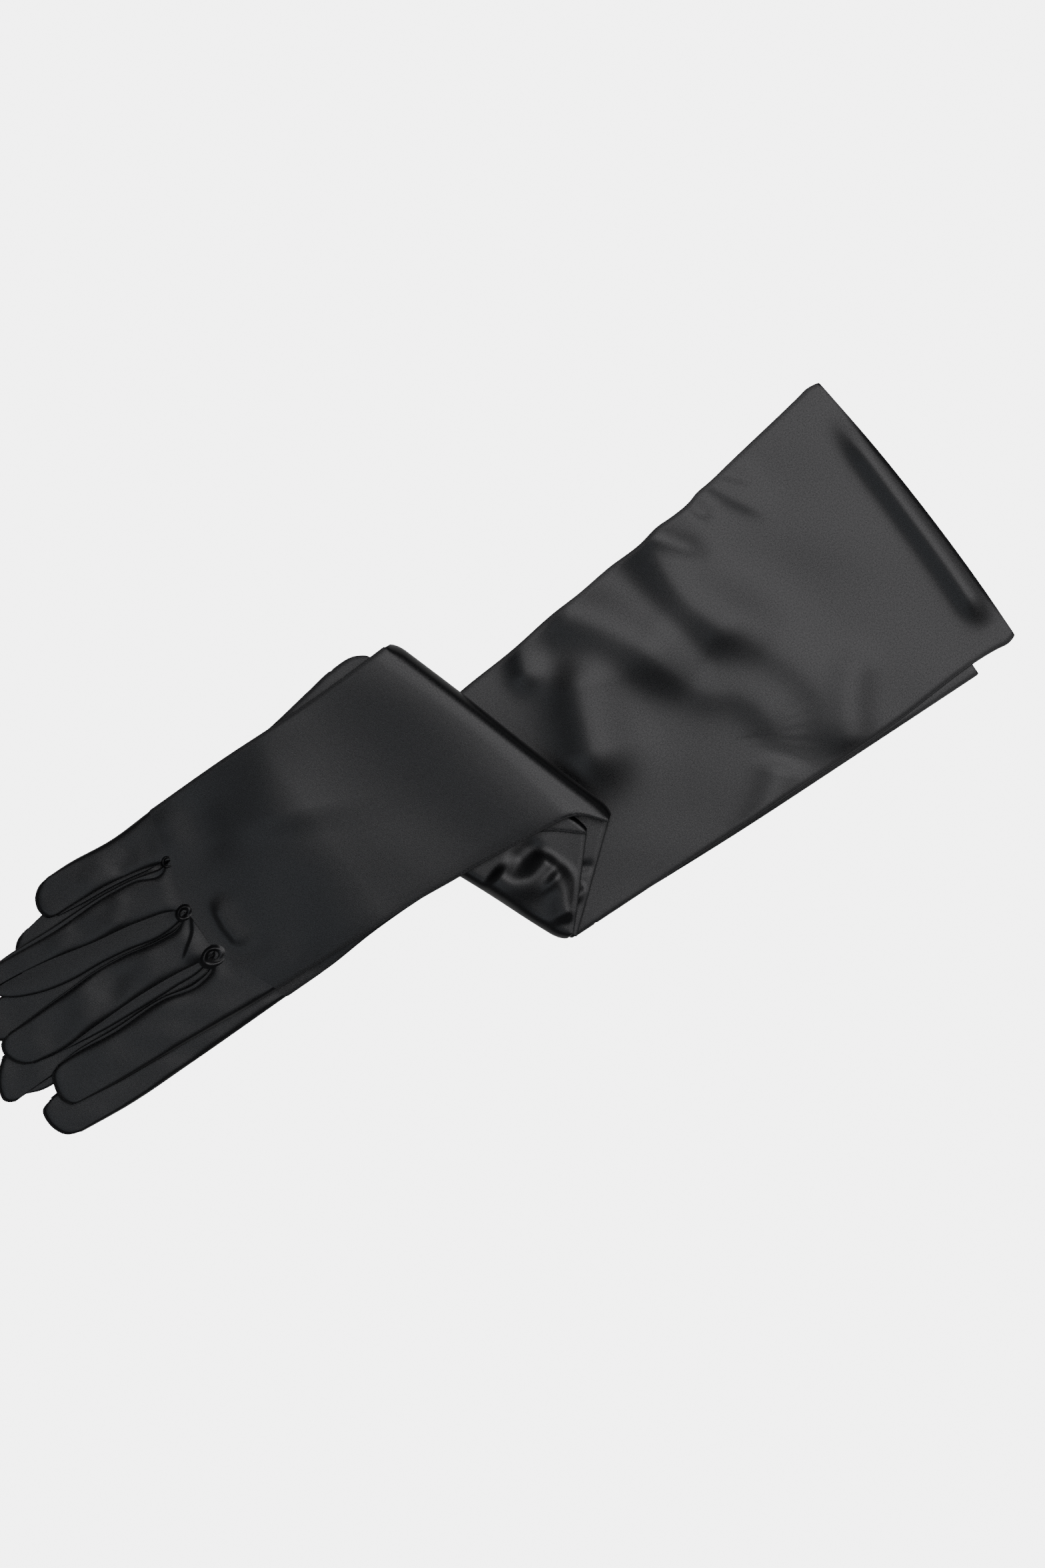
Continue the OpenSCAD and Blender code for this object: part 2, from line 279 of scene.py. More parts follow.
def weave_group() -> bpy.types.NodeTree:
    """Build the shared satin pattern: a fine diagonal weave with soft uneven patches.

    Returns:
        A node group that puts out a shade mask, a roughness mask and a height.
    """
    group = bpy.data.node_groups.new("satin_weave", "ShaderNodeTree")
    io = group.interface
    for name, default in (("Thread Scale", 1.0), ("Patch Scale", 1.0), ("Seed", 0.0)):
        io.new_socket(name, in_out="INPUT", socket_type="NodeSocketFloat").default_value = default
    for name in ("Shade", "Gloss", "Height"):
        io.new_socket(name, in_out="OUTPUT", socket_type="NodeSocketFloat")
    start = group.nodes.new("NodeGroupInput")
    end = group.nodes.new("NodeGroupOutput")
    place = node(group, "ShaderNodeTexCoord")
    link = group.links.new

    def scaled(name: str, factor: float, target: bpy.types.Node) -> None:
        """Set a texture's scale to one of the group's inputs times a factor."""
        times = node(group, "ShaderNodeMath", operation="MULTIPLY")
        times.inputs[1].default_value = factor
        link(start.outputs[name], times.inputs[0])
        link(times.outputs[0], target.inputs["Scale"])

    threads = []
    for turn, waves in ((0.0, 1500.0), (math.pi / 2, 900.0)):
        turned = node(group, "ShaderNodeMapping", Rotation=(0, 0, turn + 0.35))
        link(place.outputs["UV"], turned.inputs["Vector"])
        wave = node(group, "ShaderNodeTexWave", Distortion=0.6, Detail=1.0)
        link(turned.outputs["Vector"], wave.inputs["Vector"])
        scaled("Thread Scale", waves, wave)
        threads.append(wave.outputs["Fac"])
    weave = node(group, "ShaderNodeMath", operation="MULTIPLY")
    link(threads[0], weave.inputs[0])
    link(threads[1], weave.inputs[1])

    patches = []
    for waves, detail in ((38.0, 3.0), (1700.0, 1.0)):
        noise = node(group, "ShaderNodeTexNoise", noise_dimensions="4D", Detail=detail)
        link(place.outputs["UV"], noise.inputs["Vector"])
        scaled("Patch Scale", waves, noise)
        link(start.outputs["Seed"], noise.inputs["W"])
        patches.append(noise.outputs["Fac"])
    grain = node(group, "ShaderNodeMath", operation="MULTIPLY_ADD")
    grain.inputs[1].default_value = 0.45
    link(patches[1], grain.inputs[0])
    link(weave.outputs[0], grain.inputs[2])

    link(patches[0], end.inputs["Shade"])
    link(patches[1], end.inputs["Gloss"])
    link(grain.outputs[0], end.inputs["Height"])
    return group


@dataclass(frozen=True)
class SatinFinish:
    """A cloth finish.

    Attributes:
        name: The material's name.
        dark: Colour in the darker patches.
        light: Colour in the lighter patches.
        rough: Lowest and highest roughness, from thread to thread.
        shine: Strength of the shine.
        sheen: Strength of the soft glow at glancing angles.
        relief: Height of the threads, in metres.
        seed: Which pattern of patches it has.
    """

    name: str
    dark: tuple[float, float, float]
    light: tuple[float, float, float]
    rough: tuple[float, float] = (0.22, 0.41)
    shine: float = 0.6
    sheen: float = 0.02
    relief: float = 0.00003
    seed: float = 0.0

    def build(self, weave: bpy.types.NodeTree) -> bpy.types.Material:
        """Make the material.

        Args:
            weave: The shared pattern.

        Returns:
            The material.
        """
        made = bpy.data.materials.new(self.name)
        made.use_nodes = True
        made.diffuse_color = (*self.light, 1)
        tree = made.node_tree
        shader = tree.nodes["Principled BSDF"]
        put(shader, Specular_IOR_Level=self.shine, Sheen_Weight=self.sheen)
        put(shader, Sheen_Roughness=0.45, Sheen_Tint=(0.82, 0.85, 0.9, 1))
        pattern = node(tree, "ShaderNodeGroup", node_tree=weave, Seed=self.seed)
        colour = node(tree, "ShaderNodeMix", data_type="RGBA")
        colour.inputs["A"].default_value = (*self.dark, 1)
        colour.inputs["B"].default_value = (*self.light, 1)
        tree.links.new(pattern.outputs["Shade"], colour.inputs["Factor"])
        tree.links.new(colour.outputs["Result"], shader.inputs["Base Color"])
        low, high = self.rough
        gloss = node(tree, "ShaderNodeMapRange", From_Min=0.3, From_Max=0.7, To_Min=low, To_Max=high)
        tree.links.new(pattern.outputs["Gloss"], gloss.inputs["Value"])
        tree.links.new(gloss.outputs["Result"], shader.inputs["Roughness"])
        bump = node(tree, "ShaderNodeBump", Strength=0.4, Distance=self.relief)
        tree.links.new(pattern.outputs["Height"], bump.inputs["Height"])
        tree.links.new(bump.outputs["Normal"], shader.inputs["Normal"])
        return made


FINISHES = {
    "satin": SatinFinish("black_satin", (0.0045, 0.0045, 0.005), (0.0085, 0.0085, 0.0095)),
    "fourchette": SatinFinish("strip_satin", (0.0045, 0.0045, 0.005), (0.008, 0.008, 0.009), seed=3.0),
    "hem": SatinFinish("hem_satin", (0.004, 0.004, 0.0045), (0.008, 0.008, 0.009), seed=5.0),
    "seam": SatinFinish("seam_thread", (0.004, 0.004, 0.0045), (0.007, 0.007, 0.008), (0.5, 0.6)),
}


# ---------------------------------------------------------------- meshes


def mesh_piece(
    name: str,
    verts: np.ndarray,
    faces: np.ndarray,
    normals: np.ndarray,
    uv: np.ndarray,
    material: bpy.types.Material,
) -> bpy.types.Object:
    """Make an object from arrays.

    Args:
        name: The object's name.
        verts: Vertices, in millimetres.
        faces: Quads, as rows of four vertex numbers.
        normals: One normal for each corner of each quad.
        uv: One pattern place for each vertex, in millimetres of cloth.
        material: Its finish.

    Returns:
        The new object.
    """
    mesh = bpy.data.meshes.new(name)
    mesh.from_pydata((verts * MM).tolist(), [], faces.tolist())
    mesh.polygons.foreach_set("use_smooth", np.ones(len(faces), bool))
    layer = mesh.uv_layers.new(name="cloth")
    layer.data.foreach_set("uv", (uv[faces.ravel()] * MM).astype(np.float32).ravel())
    mesh.materials.append(material)
    mesh.normals_split_custom_set(normals.reshape(-1, 3).tolist())
    made = bpy.data.objects.new(name, mesh)
    bpy.context.scene.collection.objects.link(made)
    return made


def faces_in(verts: np.ndarray, quads: np.ndarray, out: np.ndarray) -> bool:
    """Whether quads face against the outward directions of their vertices."""
    a, b, c = verts[quads[:, 0]], verts[quads[:, 1]], verts[quads[:, 3]]
    return (np.cross(b - a, c - a) * out[quads[:, 0]]).sum() < 0


def shell(
    name: str,
    outer: np.ndarray,
    normal: np.ndarray,
    uv: np.ndarray,
    material: bpy.types.Material,
    thick: float = CLOTH,
) -> bpy.types.Object:
    """Make one piece of cloth from a grid of points on its outer face.

    Args:
        name: The object's name.
        outer: Rows by columns by 3.
        normal: The outer face's normals, alike.
        uv: Rows by columns by 2, in millimetres of cloth.
        material: Its finish.
        thick: Thickness of the cloth.

    Returns:
        The new object, a closed mesh.
    """
    rows, cols = outer.shape[:2]
    count = rows * cols
    verts = np.concatenate([outer.reshape(-1, 3), (outer - thick * normal).reshape(-1, 3)])
    index = np.arange(count).reshape(rows, cols)
    quads = np.stack([index[:-1, :-1], index[1:, :-1], index[1:, 1:], index[:-1, 1:]], -1).reshape(-1, 4)
    flat = normal.reshape(-1, 3)
    flip = faces_in(verts, quads, flat)
    if flip:
        quads = quads[:, ::-1]
    inner = quads[:, ::-1] + count
    ring = np.concatenate([index[0, :], index[1:, -1], index[-1, -2::-1], index[-2::-1, 0]])
    here, there = ring[:-1], ring[1:]
    rim = np.stack([here, there, there + count, here + count], -1)
    if flip:
        rim = rim[:, ::-1]
    e1, e2 = verts[rim[:, 1]] - verts[rim[:, 0]], verts[rim[:, 3]] - verts[rim[:, 0]]
    rim_normal = np.repeat(unit(np.cross(e1, e2))[:, None], 4, axis=1)
    corner = np.concatenate([flat[quads], -flat[inner - count], rim_normal])
    both = np.concatenate([uv.reshape(-1, 2)] * 2)
    return mesh_piece(name, verts, np.concatenate([quads, inner, rim]), corner, both, material)


def tube(
    name: str,
    line: np.ndarray,
    radius: np.ndarray | float,
    material: bpy.types.Material,
    sides: int = 8,
) -> bpy.types.Object:
    """Make a closed round bead along a line.

    Args:
        name: The object's name.
        line: The middle line, one point a row.
        radius: Its radius, one for all or one for each point.
        material: Its finish.
        sides: How many sides it has.

    Returns:
        The new object.
    """
    ahead = unit(np.gradient(line, axis=0))
    aside = unit(np.cross(ahead, UP) + 1e-9)
    up = np.cross(aside, ahead)
    around = np.linspace(0, 2 * math.pi, sides, endpoint=False)
    turn = around[None, :, None]
    out = np.cos(turn) * aside[:, None] + np.sin(turn) * up[:, None]
    size = np.broadcast_to(np.asarray(radius, float), (len(line),)).copy()
    size[0] = size[-1] = 0.02
    rings = line[:, None] + out * size[:, None, None]
    count = len(line)
    index = np.arange(count * sides).reshape(count, sides)
    onward = np.roll(index, -1, axis=1)
    quads = np.stack([index[:-1], onward[:-1], onward[1:], index[1:]], -1).reshape(-1, 4)
    flat = unit(out + UP).reshape(-1, 3)
    run = distances(line)
    uv = np.stack(np.broadcast_arrays(run[:, None], around[None, :]), -1).reshape(-1, 2)
    verts = rings.reshape(-1, 3)
    if faces_in(verts, quads, out.reshape(-1, 3)):
        quads = quads[:, ::-1]
    caps = []
    for ring, order in ((index[0], 1), (index[-1], -1)):
        ring = ring[::order]
        caps += [[ring[0], ring[k], ring[k + 1], ring[k + 2]] for k in range(1, sides - 2, 2)]
    faces = np.concatenate([quads, np.array(caps)])
    return mesh_piece(name, verts, faces, flat[faces], uv, material)


# ---------------------------------------------------------------- the pair's folds and levels


@dataclass(frozen=True)
class FoldLine:
    """One fold of the pair, in plan.

    Attributes:
        point: A point on its axis, in plan.
        along: Direction of the axis, towards the index fingers' side.
        outward: Direction in which the folded edge faces.
        height: Height of the axis.
    """

    point: np.ndarray
    along: np.ndarray
    outward: np.ndarray
    height: float

    @classmethod
    def from_joint(cls, name: str, towards: float) -> "FoldLine":
        """Read a fold from the joint that opens it.

        Args:
            name: The joint's name.
            towards: 1 where the folded edge faces +X, the mouths' side, and -1 where it faces -X.

        Returns:
            The fold.
        """
        joint = next(j for j in frame["joints"] if j["name"] == name)
        place = np.array(joint["pos_m"], float) / MM
        along = unit(np.array(joint["axis"][:2], float))
        outward = np.array([-along[1], along[0]])
        outward = outward * math.copysign(1.0, outward[0] * towards)
        return cls(place[:2], along, outward, place[2])

    def shifted(self, inwards: float, sideways: float = 0.0) -> "FoldLine":
        """The same fold moved in from its folded edge, and along its axis."""
        moved = self.point - inwards * self.outward + sideways * self.along
        return FoldLine(moved, self.along, self.outward, self.height)

    def line(self, first: float, last: float, count: int) -> np.ndarray:
        """Points along the axis, from one reach to another."""
        return self.point + np.linspace(first, last, count)[:, None] * self.along


def level(back: str, palm: str) -> float:
    """Height half way between the outer faces of two CAD panels."""
    low_a, high_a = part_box(back)
    low_b, high_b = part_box(palm)
    return (min(low_a[2], low_b[2]) + max(high_a[2], high_b[2])) / 2 / MM


ELBOW = FoldLine.from_joint("elbow_fold", -1.0)
FOREARM = FoldLine.from_joint("forearm_fold", 1.0)
# Half the height of one glove as it lies flat.
HALF = (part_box("left_palm_upper_arm")[1][2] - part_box("left_back_upper_arm")[0][2]) / 2 / MM


# ---------------------------------------------------------------- the patterns of the two gloves


@dataclass(frozen=True)
class Knot:
    """The small puckered swirl where two fingers' strips meet at a crotch.

    Attributes:
        name: The object's name.
        centre: Its middle, in plan.
        size: Half its length and half its width.
        turn: Its lie, in degrees.
        hole: Where its dark hollow is, as a share of its half sizes.
        twist: How far its ridges wind round.
        rim: Where its ring stands and how wide it is, as shares of its half sizes.
        heights: Height of its main ridge and of its fine ones, and depth of its hollow.
        stand: How far it stands above the cloth round it.
    """

    name: str
    centre: tuple[float, float]
    size: tuple[float, float]
    turn: float
    hole: tuple[float, float]
    twist: float
    rim: tuple[float, float] = (0.6, 0.21)
    heights: tuple[float, float, float] = (1.3, 0.1, 1.5)
    stand: float = 0.3

    def build(self, base: float, finish: bpy.types.Material) -> bpy.types.Object:
        """Make the swirl.

        Args:
            base: Height of the cloth round it.
            finish: Its material.

        Returns:
            The new object.
        """
        side = np.linspace(-1, 1, 57)
        a, b = np.meshgrid(side, side, indexing="ij")
        u, v = a * np.sqrt(1 - b * b / 2), b * np.sqrt(1 - a * a / 2)
        far = np.hypot(u, v)
        angle = np.arctan2(v, u)
        rim = np.exp(-(((far - self.rim[0]) / self.rim[1]) ** 2))
        main, small, deep = self.heights
        ridge = 0.5 + 0.5 * np.cos(angle - self.twist * far)
        fine = np.cos(4 * angle - 2.2 * self.twist * far)
        near_hole = (u - self.hole[0]) ** 2 + (v - self.hole[1]) ** 2
        height = main * rim * ridge + small * fine * rim - deep * np.exp(-near_hole / 0.1) - 0.5 * far**4
        turn = math.radians(self.turn)
        x, y = u * self.size[0], v * self.size[1]
        grid = np.stack(
            [
                self.centre[0] + x * math.cos(turn) - y * math.sin(turn),
                self.centre[1] + x * math.sin(turn) + y * math.cos(turn),
                base + self.stand + height,
            ],
            axis=-1,
        )
        normal = grid_normals(grid, np.broadcast_to(UP, grid.shape))
        return shell(self.name, grid, normal, grid[..., :2] + 60, finish, 0.2)


KNOTS = (
    Knot("right_little_knot", (-109.8, 54.2), (3.3, 3.0), 20, (-0.1, -0.1), 3.4),
    Knot("right_ring_knot", (-116.2, 33.6), (4.3, 3.5), 10, (-0.2, 0.0), 3.0),
    Knot("right_middle_knot", (-116.8, 12.5), (6.6, 5.0), -6, (-0.05, 0.1), 3.8),
)


@dataclass(frozen=True)
class Finger:
    """Plan of one finger: its seams on the side that shows, and how far the strips stand out.

    Attributes:
        name: Which finger.
        upper: Seam on the little finger's side, from crotch to tip.
        tip: Round the tip, between the two seams.
        lower: Seam on the index finger's side, from crotch to tip.
        upper_strip: Outer edge of the strip beside the upper seam, or nothing at a side seam.
        lower_strip: The same beside the lower seam.
    """

    name: str
    upper: Points
    tip: Points
    lower: Points
    upper_strip: Points = ()
    lower_strip: Points = ()


@dataclass(frozen=True)
class GlovePattern:
    """Outline, folds and levels of one glove.

    Attributes:
        hand: Which glove.
        up: 1 where its back is up in the upper arm and hand stretches, and -1 where it is down.
        arm_upper: Long edge from the mouth, on the little finger's side.
        arm_lower: Long edge from the mouth, on the index finger's side.
        bulge: How far the mouth's edge bulges out.
        elbow_reach: Reach of the elbow fold each way.
        forearm: The forearm fold of this glove.
        forearm_reach: Its reach each way.
        hand_upper: Long edge of the hand on the little finger's side, after the fold.
        hand_lower: The same on the index finger's side.
        knuckles: The crotches, from the little finger's side.
        drape: Height of the hand's middle against x.
        fingers: The four fingers, from little to index.
        creases: Creases on the upper side of each stretch.
        knots: The swirls at its crotches.
    """

    hand: Hand
    up: float
    arm_upper: Points
    arm_lower: Points
    bulge: float
    elbow_reach: float
    forearm: FoldLine
    forearm_reach: float
    hand_upper: Points
    hand_lower: Points
    knuckles: Points
    drape: Points
    fingers: tuple[Finger, ...]
    creases: dict[str, tuple[Crease, ...]] = field(default_factory=dict)
    knots: tuple[Knot, ...] = ()

    @property
    def arm_level(self) -> float:
        """Middle height of the upper arm stretch."""
        return level(f"{self.hand.value}_back_upper_arm", f"{self.hand.value}_palm_upper_arm")

    @property
    def elbow_level(self) -> float:
        """Middle height of the elbow stretch."""
        return level(f"{self.hand.value}_back_elbow", f"{self.hand.value}_palm_elbow")

    def drape_at(self, x: np.ndarray) -> np.ndarray:
        """Middle height of the hand at x, with its bends softened."""
        xs, zs = zip(*sorted(self.drape))
        around = np.linspace(-9, 9, 13)
        return np.mean([np.interp(x + d, xs, zs) for d in around], axis=0)


RIGHT_FINGERS = (
    Finger(
        "little",
        [(-104.4, 75.0), (-123, 74.6), (-144, 77), (-153, 77.3)],
        [(-153, 77.3), (-158.6, 76.2), (-162.4, 73.2), (-164.2, 67.5), (-162.6, 63.6), (-159, 62.6)],
        [(-108.8, 54.2), (-119, 57.2), (-134, 60.4), (-148, 61.8), (-159, 62.6)],
        (),
        [(-108.8, 54.2), (-112, 55.2), (-119, 56.0), (-125, 57.2), (-136, 59.0), (-148, 60.2), (-159, 61.9)],
    ),
    Finger(
        "ring",
        [(-108.8, 54.2), (-115.5, 51.6), (-125, 55.2), (-136.4, 57), (-163.7, 57.8), (-190, 60.1),
         (-196, 60.3)],
        [(-196, 60.3), (-200.4, 59.6), (-202.6, 56.5), (-201.6, 53.6), (-198.4, 53.2)],
        [(-115.3, 33), (-119, 36), (-133.7, 41.1), (-154, 45.1), (-174, 49.9), (-193.8, 53.0),
         (-198.4, 53.2)],
        [(-108.8, 54.2), (-112, 53.6), (-119, 54.9), (-125, 56.4), (-136.4, 58.2), (-163.7, 59.7),
         (-190, 60.9), (-196, 60.5)],
        [(-115.3, 33), (-122, 31.4), (-130, 31.3), (-143.4, 34.3), (-154.6, 36.2), (-171, 37.9), (-184, 41.4),
         (-196, 48.2), (-199.4, 52.4)],
    ),
    Finger(
        "middle",
        [(-115.3, 33), (-122, 29.6), (-131.2, 30), (-146.3, 33.2), (-159, 34.6), (-175.4, 34.6),
         (-203, 34.6)],
        [(-203, 34.6), (-207.4, 33.6), (-209.2, 30), (-208.2, 25.2), (-205.6, 21.6), (-201.4, 19.4)],
        [(-115.4, 13.6), (-123, 13.7), (-131.4, 15), (-146.5, 16.5), (-171.8, 17), (-191.5, 17.3),
         (-201.4, 19.4)],
        [(-115.3, 33), (-122, 30.2), (-131.2, 30.6), (-146.3, 33.9), (-159, 35.3), (-175.4, 35.3),
         (-203, 34.8)],
        [(-115.4, 13.6), (-124, 10.8), (-137, 11.2), (-154.6, 12.3), (-170, 13.6), (-186.5, 16.1),
         (-201.4, 19.0)],
    ),
    Finger(
        "index",
        [(-115.4, 13.6), (-121, 8.0), (-128.5, 6.4), (-144.1, 9.8), (-167.2, 10.5), (-185.3, 12.6),
         (-194, 12.8)],
        [(-194, 12.8), (-197.8, 11.4), (-200.4, 6.2), (-201, 1), (-199, -3), (-195, -4.3)],
        [(-103.8, -13.2), (-113.8, -12.6), (-140, -10.2), (-157.6, -8.7), (-179.3, -6.7), (-195, -4.3)],
        [(-115.4, 13.6), (-121, 9.2), (-128.5, 8.0), (-144.1, 10.9), (-167.2, 12.0), (-185.3, 13.5),
         (-194, 13.0)],
    ),
)

LEFT_FINGERS = (
    Finger(
        "little",
        [(-106, 71.4), (-138, 69.2), (-160, 67), (-172, 65.2)],
        [(-172, 65.2), (-178, 64), (-181.6, 60.8), (-181.6, 54), (-179, 50.6), (-174, 49.8)],
        [(-112, 48.8), (-145, 48.9), (-174, 49.8)],
        (),
        [(-112, 48.8), (-145, 47.9), (-174, 49.4)],
    ),
    Finger(
        "ring",
        [(-112, 48.8), (-150, 47.8), (-180, 48.6), (-202, 48.6)],
        [(-202, 48.6), (-207, 47.6), (-210, 43), (-210.2, 37.5), (-207, 33.8), (-202, 33)],
        [(-116, 27), (-155, 31.5), (-180, 32.2), (-202, 33)],
        [(-112, 48.8), (-150, 48.4), (-180, 49.2), (-202, 48.9)],
        [(-116, 27), (-155, 30.9), (-180, 31.6), (-202, 32.7)],
    ),
    Finger(
        "middle",
        [(-116, 27), (-155, 29.8), (-185, 30), (-211, 28.6)],
        [(-211, 28.6), (-216.4, 24), (-220, 18), (-220.6, 14), (-218, 11.4), (-213.5, 12.2)],
        [(-117, 5), (-160, 10), (-190, 11), (-213.5, 12.2)],
        [(-116, 27), (-155, 30.3), (-185, 30.6), (-211, 28.9)],
        [(-117, 5), (-160, 7.6), (-190, 7.6), (-206, 8.6), (-213.5, 11.8)],
    ),
    Finger(
        "index",
        [(-117, 5), (-150, 5), (-180, 4.6), (-204.4, 3.6)],
        [(-204.4, 3.6), (-210.1, 1.6), (-211.2, -3.6), (-207.8, -12.0), (-201.8, -14.6)],
        [(-103, -17.9), (-150, -17.6), (-180, -16.9), (-201.8, -14.6)],
        [(-117, 5), (-150, 5.9), (-180, 5.6), (-204.4, 4.0)],
    ),
)

ARM_CREASES = (
    Crease([(80, 42), (88, 31), (95, 17), (101, 1), (106, -14)], 4.2, 15, 13, (0.0, 0.5)),
    Crease([(94, 22), (99, 10), (102, -3), (108, -15), (117.5, -23), (122, -33), (121.5, -45), (113, -55)],
           1.2, 12, 9, (0.35, 0.25)),
    Crease([(124, 46), (122.5, 34), (123, 18), (127, 4)], 4.0, 18, 12, (0.0, 0.0)),
    Crease([(126, 47), (133, 38), (141, 27)], 0.8, 5, 4, (0.0, 0.5)),
    Crease([(145, 51), (147, 45), (149, 38)], 0.6, 5, 2.6, (0.0, 0.5)),
    Crease([(157, 52), (161, 43), (167, 32), (170, 24)], 0.8, 9, 4.0, (0.0, 0.5)),
    Crease([(163, 53), (168, 47), (174, 40)], 0.5, 5, 2.6, (0.0, 0.5)),
    Crease([(66, 14), (61, 3), (56, -8)], 4.2, 18, 12.5, (0.0, 0.0)),
    Crease([(59, 46), (54, 38), (52, 33)], 2.0, 9, 6, (0.0, 0.0)),
    Crease([(138, -14), (144, -30), (145, -44), (141, -54)], 1.5, 15, 11, (0.0, 0.0)),
    Crease([(160, -44), (152, -54), (146, -64)], 1.3, 9, 9, (0.0, 0.0)),
    Crease([(118, -54), (107, -63), (92, -73)], 1.3, 9, 8, (0.3, 0.0)),
    Crease([(213.6, 50), (214.6, 28), (215.2, 0), (215.6, -28), (214.9, -62)], 2.3, 6.5, 5.0, (0.25, 0.15)),
)

ELBOW_CREASES = (
    Crease([(-5, -24), (-2, -33), (5, -36.5), (13, -35), (20, -32)], 2.6, 5.0, 7.5, (0.15, 0.2)),
    Crease([(13, -38), (14, -46), (10, -54), (8, -60)], 2.4, 5.0, 6.5, (0.2, 0.2)),
    Crease([(7, -27), (14, -26.5)], -1.1, 4.0, 4.0, (0.0, 0.0)),
)

ELBOW_INNER_CREASES = (
    Crease([(46, -37), (38, -38), (32, -38)], 1.0, 2.2, 2.2, (0.1, 0.3)),
    Crease([(30, -47), (26, -45), (22, -43)], -0.7, 2, 2, (0.1, 0.3)),
    Crease([(22, -53), (17, -53), (12, -52)], 0.9, 2.2, 2.2, (0.1, 0.3)),
)

HAND_CREASES = (
    Crease([(3, 76), (11, 56), (18, 34), (24, 10), (28, -10), (32, -32)], 3.2, 14, 28, (0.0, 0.0)),
    Crease([(-46, 70), (-58, 50), (-66, 32)], 1.2, 24, 14, (0.0, 0.3)),
    Crease([(-101, 66), (-103, 60)], 0.8, 8, 8, (0.0, 0.0)),
    Crease([(-88, 62), (-90, 50)], -0.6, 9, 9, (0.0, 0.0)),
    Crease([(-82, 44), (-80, 30), (-84, 18)], 0.6, 16, 16, (0.0, 0.0)),
    Crease([(-105.2, 25), (-105.9, 20), (-105.6, 14)], 1.0, 7.0, 2.1, (0.0, 0.0)),
    Crease([(-76, 12), (-82, -2)], -0.6, 10, 10, (0.0, 0.0)),
    Crease([(-97, -2), (-112, 0)], 0.5, 7, 7, (0.0, 0.0)),
)

FINGER_CREASES = (
    Crease([(-114.4, 30.5), (-117.6, 25.2), (-123.9, 20.4), (-129.0, 16.8)], 0.8, 6.0, 0.9, (0.0, 0.3)),
    Crease([(-121, 67), (-127, 63)], -0.35, 4, 4, (0.0, 0.0)),
    Crease([(-134, 69), (-139, 66)], 0.3, 5, 5, (0.0, 0.0)),
    Crease([(-136, 52), (-141, 47)], 0.4, 4, 5, (0.0, 0.0)),
    Crease([(-160, 54), (-165, 51)], 0.35, 5, 5, (0.0, 0.0)),
    Crease([(-139, 27), (-142, 23)], 0.45, 6, 6, (0.0, 0.0)),
    Crease([(-154, 28), (-158, 24)], -0.4, 5, 5, (0.0, 0.0)),
    Crease([(-170, 28), (-174, 23)], 0.45, 6, 6, (0.0, 0.0)),
    Crease([(-186, 28), (-190, 24)], -0.3, 5, 5, (0.0, 0.0)),
    Crease([(-147, 2), (-151, -3)], 0.3, 9, 9, (0.0, 0.0)),
    Crease([(-174, 4), (-177, 0)], 0.35, 8, 8, (0.0, 0.0)),
)

RIGHT = GlovePattern(
    hand=Hand.RIGHT,
    up=1.0,
    arm_upper=[(216.4, 59.5), (211, 60.2), (206, 59.4), (170, 54.2), (156.4, 52.2), (150, 51.6),
               (145.9, 50.4),
               (137, 49.6), (129, 49.6), (119.7, 48.0), (104, 47.6), (87.5, 46.0), (74, 45.4), (54, 43.2),
               (28.5, 41.8), (0, 38.6)],
    arm_lower=[(221.9, -69.3), (218, -70.4), (213, -69.7), (160, -70.2), (110, -69.0), (60, -67.4),
               (30, -66.4)],
    bulge=2.3,
    elbow_reach=54.5,
    forearm=FOREARM,
    forearm_reach=57.0,
    hand_upper=[(-10, 72.9), (-38, 73.3), (-70, 74.6), (-104.4, 75.0)],
    hand_lower=[(36.4, -26.6), (18.4, -22.4), (4.9, -20.9), (-6.2, -19.5), (-20.2, -18.4), (-34.6, -16.9),
                (-58, -15.6), (-93, -13.7), (-103.8, -13.2)],
    knuckles=[(-108.8, 54.2), (-115.3, 33), (-115.4, 13.6)],
    drape=[(80, 14.2), (-60, 14.2), (-105, 6.6), (-205, 3.6)],
    fingers=RIGHT_FINGERS,
    creases={
        "arm": ARM_CREASES,
        "elbow": ELBOW_INNER_CREASES,
        "hand": HAND_CREASES,
        "fingers": FINGER_CREASES,
    },
    knots=KNOTS,
)

LEFT = GlovePattern(
    hand=Hand.LEFT,
    up=-1.0,
    arm_upper=[(196, 54), (120, 46.4), (60, 41), (0, 36)],
    arm_lower=[(201.2, -73.7), (192, -73.4), (140, -71.6), (83, -69.4), (30, -66)],
    bulge=2.0,
    elbow_reach=53.0,
    forearm=FOREARM.shifted(9.2, -1.5),
    forearm_reach=54.3,
    hand_upper=[(4, 74), (0.5, 77.0), (-11.4, 78.4), (-24, 76.8), (-44, 74), (-75, 72.6), (-106, 71.4)],
    hand_lower=[(20, -23.0), (0, -19.8), (-25, -17.4), (-60, -16.8), (-80, -18.0), (-103, -17.9)],
    knuckles=[(-112, 48.8), (-116, 27), (-117, 5)],
    drape=[(80, 11.8), (-44, 11.8), (-80, 1.0), (-240, 1.0)],
    fingers=LEFT_FINGERS,
    creases={"elbow": ELBOW_CREASES},
)


# ---------------------------------------------------------------- stitches


